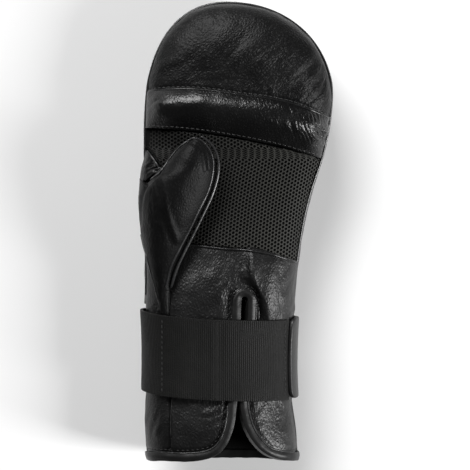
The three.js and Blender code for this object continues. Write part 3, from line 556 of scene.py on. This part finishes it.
def drawn(places, at, reach, move):
    """Points drawn along round a place in plan, most at that place."""
    return places + near(places, at, reach)[:, None] * np.array(move)


def nudge(piece, **pull):
    """Draws a piece along round a place in plan."""
    places, facing = points_of(piece)
    move_points(piece, drawn(places, **pull))


cloth = Finish("black_lining_cloth")
lining_weave = cloth.cloud(cloth.place(), 1.1, 3)
lining_cloth = cloth.done({
    "Base Color": cloth.tint(lining_weave, (0.002, 0.002, 0.002), (0.004, 0.004, 0.004)),
    "Roughness": 0.9, "Specular IOR Level": 0.15, "Normal": cloth.relief(lining_weave * 0.15),
})
cuff_lining = soft_copy("cuff_lining", 2, border=0.2)
nudge(cuff_lining, at=(5.7, -46), reach=(25, 10), move=(0, 8, 0))
dress(cuff_lining, "cuff_lining", lining_cloth)

# The heel of the palm and the two flaps of the cuff: one leather over thin foam, wrinkled where it
# bends at the wrist, with the slit cut up through it to a round keyhole. One broad fold runs up it
# from the strap to the palm on the little finger side.
HEEL_FOLDS = (
    dict(at=(4, -24), reach=(9, 12), bearing=96, spacing=5, height=0.7, stretch=4),
    dict(at=(30, -34), reach=(9, 24), bearing=80, spacing=9, height=0.7, stretch=3.5, gather=0.5),
    dict(at=(-14, -34), reach=(14, 14), bearing=70, spacing=6, stretch=3.5, height=0.35, gather=0.5),
    dict(at=(-12, -112), reach=(9, 12), bearing=22, spacing=4.5, stretch=3.5, height=0.55),
    dict(at=(-17, -104), reach=(16, 6), bearing=60, spacing=5, stretch=3.5, height=0.4),
    dict(at=(22, -112), reach=(13, 14), bearing=48, spacing=4, stretch=3.5, height=0.35),
    dict(at=(32, -50), reach=(7, 9), bearing=60, spacing=5, height=0.8, stretch=2),
)


def fold_over(piece, ridge, height, steep, gentle, fade):
    """Raises a fold along a ridge up the piece, steep on its left and with a long slope on its right."""
    places, facing = points_of(piece)
    ridge_x, ridge_y = np.array(ridge).T
    aside = places[:, 0] - np.interp(places[:, 1], ridge_y, ridge_x)
    rise = height * np.where(aside < 0, np.exp(-(aside / steep) ** 2), np.exp(-np.abs(aside) / gentle))
    middle = (ridge_y[0] + ridge_y[-1]) / 2
    reach = (ridge_y[-1] - ridge_y[0]) / 2 + fade
    push(piece, rise * np.exp(-((places[:, 1] - middle) / reach) ** 4) * (facing[:, 2] > 0))


HEEL_RIDGE = ((20.5, -54.0), (18.6, -43.0), (15.0, -36.5), (11.5, -29.0), (10.5, -13.0))
KEYHOLE_PULL = dict(at=(5.7, -44), reach=(10, 9), move=(0, 4.6, 0))
HEEL_HOLLOWS = (
    dict(at=(14, -49), reach=(4.5, 12), depth=2.2),
    dict(at=(-4, -46), reach=(3.5, 9), depth=1.0),
    dict(at=(4, -32), reach=(7, 6), depth=1.0),
    dict(at=(28.5, -114), reach=(8, 14), depth=1.8),
)
heel_panel = soft_copy("heel_panel", 3, border=0.5)
soften(heel_panel, lump=0.45, folds=HEEL_FOLDS, hollows=HEEL_HOLLOWS, seed=3)
fold_over(heel_panel, HEEL_RIDGE, height=4.2, steep=4.0, gentle=14.0, fade=4.0)
nudge(heel_panel, **KEYHOLE_PULL)
heel_leather = leather("heel_leather", gloss=0.4, bearing=84, crease=0.24, grain=0.12, shine=0.44)
dress(heel_panel, "heel_panel", heel_leather)

# The gusset: a smoother strip of leather that closes the thumb side of the cuff, from the hem up
# to the thumb, and is sewn to the flap beside it.
GUSSET_FOLDS = (
    dict(at=(-51, -122), reach=(6, 14), bearing=50, spacing=7, stretch=3.5, height=0.7, gather=0.3),
    dict(at=(-49, -48), reach=(6, 8), bearing=80, spacing=4, stretch=3.5, height=0.5),
)
side_gusset = soft_copy("side_gusset", 3, border=0.5)
soften(side_gusset, folds=GUSSET_FOLDS, seed=4)
dress(side_gusset, "side_gusset", leather("gusset_leather", gloss=0.42, shine=0.3))

# The binding: a tape of smooth soft leather folded over the raw edge of the hem and slit, with its
# topstitching run in the leather beside it. The gusset's seam to the flap is drawn in here too.
SLIT_EDGE = (
    (-54.5, -142.8), (-46.5, -142.5), (-39.0, -142.5), (-30.5, -142.5), (-20.5, -141.6), (-12.0, -138.9),
    (-5.7, -133.2), (-1.8, -125.0), (0.3, -115.7), (1.0, -106.3), (1.5, -94.5), (1.9, -80.7), (2.6, -67.0),
    (3.3, -54.5), (3.6, -46.9), (4.2, -45.4), (5.7, -44.8), (7.1, -45.4), (7.8, -46.9), (7.4, -54.5),
    (5.8, -67.0), (4.1, -80.7), (3.1, -94.5), (2.5, -106.3), (4.0, -115.7), (7.3, -125.0), (13.1, -133.2),
    (19.7, -138.9), (27.9, -141.6), (33.6, -142.8), (38.8, -143.3),
)
TAPE_WIDTH = 5.5
TAPE_ROUND = 0.7
TAPE_ROUND_REACH = 1.9
TOPSTITCH = 7.0
THIN_FOLD = 0.5
FLAP_SEAM = ((-40.3, -100.0, 0.0), (-40.3, -136.0, 0.0))


def beside(line, distance):
    """The line in plan moved to its left by this distance."""
    forward = np.gradient(line, axis=0)
    forward /= np.linalg.norm(forward, axis=1)[:, None]
    return line + distance * np.stack([-forward[:, 1], forward[:, 0], forward[:, 2]], axis=1)


def groove(piece, line, depth, width):
    """Draws the surface in along a line in plan."""
    places, facing = points_of(piece)
    flat = places * (1, 1, 0)
    away, _ = line_ways(flat, line * (1, 1, 0))
    push(piece, -depth * np.exp(-(away / width) ** 2) * (facing[:, 2] > 0))


slit_edge = drawn(curve_through(SLIT_EDGE, 0.6), **KEYHOLE_PULL)
topstitch_line = beside(slit_edge, TOPSTITCH)
for panel in (heel_panel, side_gusset):
    groove(panel, topstitch_line, 0.55, 0.9)
    groove(panel, beside(slit_edge, TAPE_WIDTH), 0.8, 0.8)
    groove(panel, spaced(np.array(FLAP_SEAM), 0.5), 0.9, 0.8)
smooth_leather = Finish("binding_leather")
tape_place = smooth_leather.place()
tape_worn = smooth_leather.cloud(tape_place, 9, 3)
tape_pores = smooth_leather.cloud(tape_place, 0.8, 3)
tape_leather = smooth_leather.done({
    "Base Color": smooth_leather.tint(tape_worn, (0.005, 0.005, 0.005), (0.011, 0.011, 0.011)),
    "Roughness": tape_worn * 0.12 + 0.34, "Specular IOR Level": 0.28,
    "Normal": smooth_leather.relief(tape_pores * 0.05 + tape_worn * 0.5),
})
edge_binding = soft_copy("edge_binding", 2, border=0.5)
nudge(edge_binding, **KEYHOLE_PULL)
places, facing = points_of(edge_binding)
away, along = line_ways(places * (1, 1, 0), beside(slit_edge, TAPE_WIDTH / 2))
rounded = TAPE_ROUND * np.exp(-(away / TAPE_ROUND_REACH) ** 2) * (facing[:, 2] > 0)
push(edge_binding, rounded + 0.25 * clouds(places, 5, 6) + 0.2 * clouds(places, 12, 7))
dress(edge_binding, "edge_binding", tape_leather)
binding_fold = leather("binding_fold_leather", tone=0.006, gloss=0.32, grain=0.03, crease=0.1, shine=0.5)
fold_bed = laid_on(beside(slit_edge, TAPE_WIDTH), [heel_panel, side_gusset, edge_binding])
edged("binding_edge_fold", fold_bed, THIN_FOLD, binding_fold)
sew("binding_topstitching", laid_on(topstitch_line, [heel_panel, side_gusset]), yarn=black_thread)

# The heel's top edge: the leather turned under over the knit and sewn, so that it stands up as a
# thin round fold.
HEEL_SEAM = (
    (-38.5, -7.0), (-22.1, -8.6), (-7.9, -10.3), (6.4, -11.2), (20.4, -13.3), (33.3, -17.2), (38.4, -18.9),
)
heel_seam = curve_through(HEEL_SEAM, 1.0)
seam_bed = laid_on(heel_seam - (0, 1.3, 0), [heel_panel]) + (0, 0.9, 0.1)
fold_leather = leather("fold_leather", tone=0.007, gloss=0.3, grain=0.04, crease=0.1)
# The piping's leather is painted lighter than the other leather, as a painted highlight along the thin seams
# and welts.
piping_leather_with_painted_highlight = leather("piping_leather_with_painted_highlight", tone=0.014, gloss=0.3, grain=0.02, crease=0.05, shine=0.6)
edged("heel_seam_fold", seam_bed, 0.85, fold_leather)

# The perforated palm: a dull grey knit with round holes in staggered columns, stretched over a black
# backing and sewn in all round. It is painted darkest beside the thumb, as the thumb's shadow on it.
HOLE_PITCH = 2.375
HOLE_COLUMN = HOLE_PITCH * math.sqrt(3) / 2
HOLE_COLUMNS = range(-33, 38)
HOLE_RIM = 0.3
KNIT_DEPTH = 0.3
LIP_DEPTH = 0.55
BACKING_DEPTH = 1.1
PALM_LEFT = -56.2
PALM_RIGHT_FROM = 30
PALM_RIGHT_TO = 62
PALM_TUCK = 0.6
PALM_SLACK = 0.05
PALM_SEAMS_HEIGHT = 43
PALM_RISE = 15.5
PALM_FULL = 2.7
THUMB_SHADE_SLANT = 0.25
THUMB_SHADE_DEEPEST = -32
THUMB_SHADE_END = 22
palm_backing = soft_copy("palm_mesh", 2, border=0.3)
palm_surface = surface_of(palm_backing)
palm_low, palm_high = (np.array(corner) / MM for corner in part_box("palm_mesh"))


def drop(surface, x, y):
    """The point of a surface under a place in plan, in millimetres, or nothing."""
    hit = surface.ray_cast(Vector((x * MM, y * MM, 0.3)), Vector((0, 0, -1)))[0]
    return None if hit is None else hit / MM


across = np.arange(PALM_RIGHT_FROM, PALM_RIGHT_TO, 0.5)
right_rows = np.arange(palm_low[1] + 1, palm_high[1], 1.0)
right_edges = []
for y in right_rows:
    reached = [x for x in across if drop(palm_surface, x, y) is not None]
    right_edges.append(max(reached, default=0))
is_open = np.array(right_edges) > PALM_RIGHT_FROM
share = np.linspace(-1, 1, 201)
dome = (1 - np.abs(share) ** PALM_FULL) ** (1 / PALM_FULL)


def on_palm(way, y):
    """The place this far across the palm, measured along its surface from its middle."""
    right = np.interp(y, right_rows[is_open], np.array(right_edges)[is_open]) + PALM_TUCK
    half, middle = (right - PALM_LEFT) / 2, (right + PALM_LEFT) / 2
    ways = np.concatenate([[0], np.cumsum(np.hypot(np.diff(share) * half, np.diff(dome) * PALM_RISE))])
    at = np.interp(way, ways - ways[len(ways) // 2], share)
    rise = PALM_RISE * np.interp(at, share, dome)
    guess = Vector((middle + half * at, y, PALM_SEAMS_HEIGHT + rise))
    hit = drop(palm_surface, guess.x, y)
    if hit is None:
        hit = palm_surface.find_nearest(guess * MM)[0] / MM
    return hit


knit = bmesh.new()
tilt = Matrix.Rotation(math.radians(30), 4, "Z")
hole_rows = range(int((palm_high[1] - palm_low[1]) / HOLE_PITCH) + 2)
for column in HOLE_COLUMNS:
    for row in hole_rows:
        way = column * HOLE_COLUMN
        y = palm_low[1] + (row + 0.5 * (column % 2)) * HOLE_PITCH
        middle = on_palm(way, y)
        if abs(middle.y - y) < PALM_SLACK and drop(palm_surface, middle.x, y):
            bmesh.ops.create_circle(
                knit, cap_ends=True, segments=6, radius=HOLE_PITCH / math.sqrt(3),
                matrix=Matrix.Translation((way, y, 0)) @ tilt)
bmesh.ops.remove_doubles(knit, verts=knit.verts, dist=PALM_SLACK)
bmesh.ops.inset_individual(knit, faces=knit.faces, thickness=HOLE_RIM)
holes = [face for face in knit.faces if len(face.verts) == 6]
bmesh.ops.delete(knit, geom=holes, context="FACES")
for vert in knit.verts:
    vert.co = on_palm(vert.co.x, vert.co.y) * MM
bmesh.ops.recalc_face_normals(knit, faces=knit.faces)
knit_palm = as_piece(knit, "knit_palm")
rounder = knit_palm.modifiers.new("round", "SUBSURF")
rounder.levels = rounder.render_levels = 1
apply_modifiers(knit_palm)
places, facing = points_of(knit_palm)
if facing[:, 2].mean() < 0:
    knit_palm.data.flip_normals()
push(knit_palm, np.full(len(places), -KNIT_DEPTH))
lips = bmesh.new()
lips.from_mesh(knit_palm.data)
# The lips that run down into the holes and under the knit's edges carry a mark that paints them dark, as
# painted shade.
painted_hole_shade = lips.verts.layers.float.new("painted_hole_shade")
borders = [edge for edge in lips.edges if edge.is_boundary]
grown = bmesh.ops.extrude_edge_only(lips, edges=borders)["geom"]
for vert in grown:
    if isinstance(vert, bmesh.types.BMVert):
        vert.co.z -= LIP_DEPTH * MM
        vert[painted_hole_shade] = 1
lips.to_mesh(knit_palm.data)
lips.free()
knit_palm.data.shade_smooth()
places, facing = points_of(knit_palm)
# Painted shade: a mark that is 0 beside the thumb and 1 away from it darkens the knit's colour there,
# standing in for the thumb's shadow.
from_thumb = places[:, 0] - THUMB_SHADE_SLANT * places[:, 1]
mark(knit_palm, "lightness", np.interp(from_thumb, (THUMB_SHADE_DEEPEST, THUMB_SHADE_END), (0, 1)))
knit_finish = Finish("grey_knit")
knit_place = knit_finish.place()
knit_fuzz = knit_finish.cloud(knit_place, 0.5, 3)
knit_shade = knit_finish.cloud(knit_place, 25, 2)
# Painted shade: the knit's colour goes black down the walls of its holes.
knit_light = (knit_fuzz * 0.5 + knit_shade * 0.5) * (1 - knit_finish.mark("painted_hole_shade"))
# The knit's colour is painted darker beside the thumb, as the thumb's shadow.
knit_light = knit_light * (knit_finish.mark("lightness") * 0.85 + 0.22)
knit_cloth = knit_finish.done({
    "Base Color": knit_finish.tint(knit_light, (0.003, 0.003, 0.0025), (0.034, 0.034, 0.029)),
    "Roughness": knit_fuzz * 0.2 + 0.5, "Specular IOR Level": 0.3,
    "Normal": knit_finish.relief(knit_fuzz * 0.18),
})
dress(knit_palm, "palm_mesh", knit_cloth)
places, facing = points_of(palm_backing)
push(palm_backing, np.full(len(places), -BACKING_DEPTH))
palm_backing.name = "palm_backing"
dress(palm_backing, "palm_mesh", lining_cloth)

# The grip roll: a soft padded fold across the palm, that the fingers close on. It is finely pleated
# towards the little finger, where it ends in a sharp tuck at the side seam.
ROLL_FOLDS = (
    dict(at=(20, 73), reach=(18, 8), bearing=98, spacing=1.9, height=0.35, gather=0.3),
    dict(at=(42, 66), reach=(13, 10), bearing=108, spacing=2.1, height=0.5, gather=0.3),
    dict(at=(38, 67), reach=(16, 8), bearing=104, spacing=6, height=0.6, stretch=3, gather=0.3),
    dict(at=(55, 60), reach=(6, 8), bearing=132, spacing=6, height=1.8, stretch=2.5),
    dict(at=(-45, 79), reach=(12, 6), bearing=20, spacing=5, stretch=3.5, height=0.35, gather=0.4),
)
grip_roll = soft_copy("grip_roll", 3, border=0.35)
soften(grip_roll, lump=0.4, folds=ROLL_FOLDS, seed=5)
ROLL_LOW_SEAM = (
    (-55.4, 64.2), (-33.3, 62.7), (-16.3, 60.7), (0.5, 58.0), (17.1, 54.9), (33.3, 51.1), (53.6, 45.5),
)
knit_stitches = curve_through(ROLL_LOW_SEAM, 1.0) + (0, 1.6, 0)
sew("knit_seam_stitches", laid_on(knit_stitches, [grip_roll]))
roll_leather = leather("roll_leather", gloss=0.31, bearing=105, crease=0.4)
dress(grip_roll, "grip_roll", roll_leather)

# The fingertip hood: one leather over foam, with long slanting creases on the little finger side.
# Its lower edge is turned under on the roll as a thin fold, with a row of stitches above it.
HOOD_FOLDS = (
    dict(at=(42, 96), reach=(15, 13), bearing=52, spacing=9, height=1.2, stretch=3),
    dict(at=(50, 88), reach=(11, 12), bearing=62, spacing=5, height=0.6, stretch=3),
    dict(at=(14, 108), reach=(22, 12), bearing=42, spacing=11, height=1.0, stretch=3, gather=0.4),
    dict(at=(-28, 98), reach=(20, 12), bearing=18, spacing=7, stretch=3.5, height=0.45, gather=0.5),
    dict(at=(20, 88), reach=(20, 7), bearing=70, spacing=5, stretch=3.5, height=0.4),
)
finger_hood = soft_copy("finger_hood", 3, border=0.35)
soften(finger_hood, lump=0.5, folds=HOOD_FOLDS, seed=6)
ROLL_TOP_SEAM = (
    (-54.6, 87.5), (-31.8, 88.2), (-14.6, 87.0), (2.7, 84.5), (20.0, 82.4), (37.2, 78.7), (52.9, 73.0),
    (59.0, 70.7),
)
roll_top_seam = curve_through(ROLL_TOP_SEAM, 1.0)
hood_stitches = roll_top_seam + (0, 1.2, 0)
groove(finger_hood, hood_stitches, 0.3, 0.9)
hood_seam_bed = laid_on(roll_top_seam + (0, 0.7, 0), [finger_hood]) - (0, 0.8, 0.9)
edged("hood_seam_fold", hood_seam_bed, 0.9, fold_leather)
sew("hood_seam_stitches", laid_on(hood_stitches, [finger_hood]))
hood_leather = leather("hood_leather", gloss=0.43, bearing=48, crease=0.32, grain=0.16, shine=0.17)
dress(finger_hood, "finger_hood", hood_leather)

# The thumb: a stall of smoother leather over foam with one soft ridge, puckered at the crotch, with
# piping in its upper seam and a double welt down its outer side.
THUMB_FOLDS = (
    dict(at=(-49, 29), reach=(6, 9), bearing=110, spacing=3, height=0.7, stretch=3.5),
    dict(at=(-50, 8), reach=(8, 22), bearing=100, spacing=3.5, height=0.35, stretch=2),
    dict(at=(-50, -40), reach=(6, 14), bearing=85, spacing=5, stretch=3.5, height=0.6),
)
thumb_stall = soft_copy("thumb_stall", 3, border=0.5)
soften(thumb_stall, lump=0.35, folds=THUMB_FOLDS, seed=7)


def relax(piece, at, reach, rounds):
    """Smooths the form of a piece round a place in plan."""
    work = bmesh.new()
    work.from_mesh(piece.data)
    around = [vert for vert in work.verts if math.dist(vert.co.xy / MM, at) < reach]
    every_way = dict(use_axis_x=True, use_axis_y=True, use_axis_z=True)
    for _ in range(rounds):
        bmesh.ops.smooth_vert(work, verts=around, factor=0.5, **every_way)
    work.to_mesh(piece.data)
    work.free()
    piece.data.shade_smooth()


relax(thumb_stall, at=(-59, 31), reach=9, rounds=40)
nudge(thumb_stall, at=(-54.5, 33), reach=(3.5, 5), move=(0.5, -3.5, -3))
nudge(thumb_stall, at=(-60.5, 31), reach=(3, 6), move=(0.3, 2.0, -3))
relax(thumb_stall, at=(-58, 31), reach=6, rounds=6)
THUMB_RIDGE = ((-45.8, 36.8), (-43.4, 27.7), (-41.9, 15.2), (-38.9, 4.3), (-35.2, -5.7))
thumb_ridge = curve_through(THUMB_RIDGE, 0.5)
groove(thumb_stall, thumb_ridge, -0.8, 1.7)
groove(thumb_stall, beside(thumb_ridge, -4.0), 0.35, 2.0)
TIP_FOLD = ((-26.5, 57.2), (-20.2, 53.3), (-16.9, 46.2), (-15.9, 38.0))
tip_fold = curve_through(TIP_FOLD, 0.5)
groove(thumb_stall, tip_fold, -0.7, 1.0)
groove(thumb_stall, beside(tip_fold, -2.4), 0.6, 1.4)
SHOULDER_FOLD = ((-46.0, 36.5), (-50.0, 32.0), (-54.4, 28.0), (-57.0, 22.0), (-58.3, 14.0), (-58.6, 4.0))
groove(thumb_stall, curve_through(SHOULDER_FOLD, 0.5), 1.2, 0.9)
thumb_leather = leather("thumb_leather", gloss=0.48, bearing=80, crease=0.22, grain=0.09, shine=0.12)
dress(thumb_stall, "thumb_stall", thumb_leather)
WELT_RADIUS = 0.7
WELT_LIFT = 0.2
THUMB_UPPER_SEAM = (
    (-52.5, 31.5), (-46.2, 36.0), (-40.8, 43.4), (-36.4, 49.0), (-31.6, 53.5), (-27.4, 56.2), (-24.2, 57.0),
    (-21.0, 55.8), (-18.2, 53.5),
)
upper_seam = laid_on(curve_through(THUMB_UPPER_SEAM, 0.8), [thumb_stall])
edged("thumb_upper_seam", upper_seam + (0, 0, WELT_LIFT), WELT_RADIUS, piping_leather_with_painted_highlight)
WELT_FOLD = (
    (-18.2, 53.5), (-15.4, 49.5), (-13.7, 44.5), (-13.4, 39.0), (-14.5, 31.5), (-17.4, 22.5), (-22.4, 12.5),
    (-27.8, 1.3), (-34.0, -10.6), (-39.6, -22.3), (-42.6, -34.5),
)
welt_fold = laid_on(curve_through(WELT_FOLD, 0.8), [thumb_stall])
edged("thumb_welt_fold", welt_fold + (0, 0, WELT_LIFT), WELT_RADIUS, piping_leather_with_painted_highlight)
thumb_welt = soft_copy("thumb_welt", 2, border=0)
dress(thumb_welt, "thumb_welt", piping_leather_with_painted_highlight)
THUMB_SIDE_SEAM = (
    (-58.6, -1.0), (-56.4, -10.0), (-54.3, -16.3), (-52.1, -25.0), (-49.9, -33.2), (-47.7, -42.0),
)
side_fold = laid_on(curve_through(THUMB_SIDE_SEAM, 1.0), [thumb_stall, side_gusset])
edged("thumb_side_fold", side_fold, THIN_FOLD, fold_leather)

# The thumb's web: a small leather gore between the thumb and the side of the hand, gathered into the
# crotch, with a thin fold along its edge on the knit.
WEB_FOLDS = (dict(at=(-50, 41), reach=(4, 6), bearing=8, spacing=1.8, height=0.6, stretch=4),)
WEB_EDGE = ((-57.7, 54.3), (-53.9, 49.3), (-50.2, 44.3), (-47.0, 39.4))
thumb_web = soft_copy("thumb_web", 3, border=0.3)
soften(thumb_web, lump=0.15, folds=WEB_FOLDS, seed=8)
nudge(thumb_web, at=(-57, 36), reach=(4, 9), move=(-3.6, -1, 0))
nudge(thumb_web, at=(-60, 34), reach=(6, 4), move=(0, -5, -1))
web_edge = laid_on(curve_through(WEB_EDGE, 0.8), [thumb_web, palm_backing])
edged("thumb_web_fold", web_edge, THIN_FOLD, piping_leather_with_painted_highlight)
dress(thumb_web, "thumb_web", leather("web_leather", bearing=15))


# The strap's elastic: a ribbed black band stretched round the palm side of the cuff, over the slit,
# and sewn to the tab at both ends.
def way_round(places):
    """How far round the strap each point is, in millimetres along it."""
    middle = (places.min(axis=0) + places.max(axis=0)) / 2
    turn = np.degrees(np.arctan2(places[:, 2] - middle[2], places[:, 0] - middle[0])) % 360
    turn = (turn + 90) % 360
    slices = np.arange(0, 361, 2)
    at = np.digitize(turn, slices)
    used = [index for index in range(1, len(slices)) if (at == index).any()]
    path = np.array([places[at == index][:, [0, 2]].mean(axis=0) for index in used])
    ways = np.concatenate([[0], np.cumsum(np.linalg.norm(np.diff(path, axis=0), axis=1))])
    return np.interp(turn, slices[used] - 1, ways)


RIB_PITCH = 1.25
elastic_band = soft_copy("elastic_band", 3, border=0.4)
places, facing = points_of(elastic_band)
elastic_way = way_round(places)
push(elastic_band, 0.3 * clouds(places, 18, 9) + 0.12 * clouds(places, 6, 10))
mark(elastic_band, "way_round", elastic_way)
webbing = Finish("ribbed_elastic")
webbing_place = webbing.place()
ribs = (webbing.mark("way_round") * (math.pi / RIB_PITCH)).maths("SINE").maths("ABSOLUTE")
threads = webbing.cloud(webbing.turned(webbing_place, 0, 2.5), 0.5, 2)
lightness = webbing.cloud(webbing_place, 20, 2)
ribbed_elastic = webbing.done({
    "Base Color": webbing.tint(lightness * 0.8 + ribs * 0.2, (0.002, 0.002, 0.002), (0.007, 0.007, 0.0065)),
    "Roughness": threads * 0.2 + 0.42, "Specular IOR Level": 0.17,
    "Normal": webbing.relief(ribs * 0.15 + threads * 0.2),
})
dress(elastic_band, "elastic_band", ribbed_elastic)
LEFT_STITCHES = -45.2
RIGHT_STITCHES = 31.0
EDGE_POINTS = 4
y_low, y_high = (corner[1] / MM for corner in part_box("elastic_band"))
for name, x in (("elastic_left_stitches", LEFT_STITCHES), ("elastic_right_stitches", RIGHT_STITCHES)):
    column = np.array([(x, y, 0) for y in np.arange(y_low, y_high, 0.5)])
    sew(name, laid_on(column, [elastic_band])[EDGE_POINTS:-EDGE_POINTS], yarn=black_thread)

# The strap's tab: smooth laminated leather that comes from the elastic round the back of the cuff
# and is hemmed with stitches. It is squeezed flat where it folds round the thumb side.
TAB_FOLD_START = -57.0
TAB_FOLD_SHARE = 0.5
TAB_HEM = 3.0
TAB_LEFT_MARGIN = 9
TAB_RIGHT_MARGIN = 5
strap_tab = soft_copy("strap_tab", 2, border=0.8)
places, facing = points_of(strap_tab)
beyond = np.minimum(places[:, 0] - TAB_FOLD_START, 0)
places[:, 0] -= beyond * (1 - TAB_FOLD_SHARE)
move_points(strap_tab, places)
soften(strap_tab, lump=0.15, seed=11)
tab_leather = leather("tab_leather", tone=0.008, gloss=0.42, grain=0.03, crease=0.1)
dress(strap_tab, "strap_tab", tab_leather)


def below(x_low, x_high, y):
    """A straight line under the strap, from one x to another."""
    return [(x, y, 0) for x in np.arange(x_low, x_high, 0.5)]


tab_low, tab_high = (np.array(corner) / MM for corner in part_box("strap_tab"))
hem_left, hem_right = tab_low[0] + TAB_LEFT_MARGIN, tab_high[0] - TAB_RIGHT_MARGIN
for name, y in (("tab_low_stitches", tab_low[1] + TAB_HEM), ("tab_high_stitches", tab_high[1] - TAB_HEM)):
    sew(name, laid_on(below(hem_left, hem_right, y), [strap_tab], toward=(0, 0, 1)))

# The patch: a blank piece of the binding's leather sewn on the back of the tab, with a raised frame
# round its edge that a row of stitches holds down.
PATCH_FRAME = 3.4
PATCH_CROWN = 1.4
strap_patch = soft_copy("strap_patch", 3, border=0.3)
patch_low, patch_high = (np.array(corner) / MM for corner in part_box("strap_patch"))
places, facing = points_of(strap_patch)
inset = np.minimum(places - patch_low, patch_high - places)[:, :2].min(axis=1)
raised = 0.7 * np.exp(-((inset - PATCH_CROWN) / 1.3) ** 2)
sewn_down = 0.5 * np.exp(-((inset - PATCH_FRAME) / 0.8) ** 2)
push(strap_patch, (raised - sewn_down) * (facing[:, 2] < 0) + 0.12 * clouds(places, 9, 12))
dress(strap_patch, "strap_patch", tape_leather)
frame_left, frame_low = patch_low[:2] + PATCH_FRAME
frame_right, frame_high = patch_high[:2] - PATCH_FRAME
for name, y in (("patch_low_stitches", frame_low), ("patch_high_stitches", frame_high)):
    sew(name, laid_on(below(frame_left, frame_right, y), [strap_patch], toward=(0, 0, 1)))
for name, x in (("patch_left_stitches", frame_left), ("patch_right_stitches", frame_right)):
    column = [(x, y, 0) for y in np.arange(frame_low, frame_high, 0.5)]
    sew(name, laid_on(column, [strap_patch], toward=(0, 0, 1)))
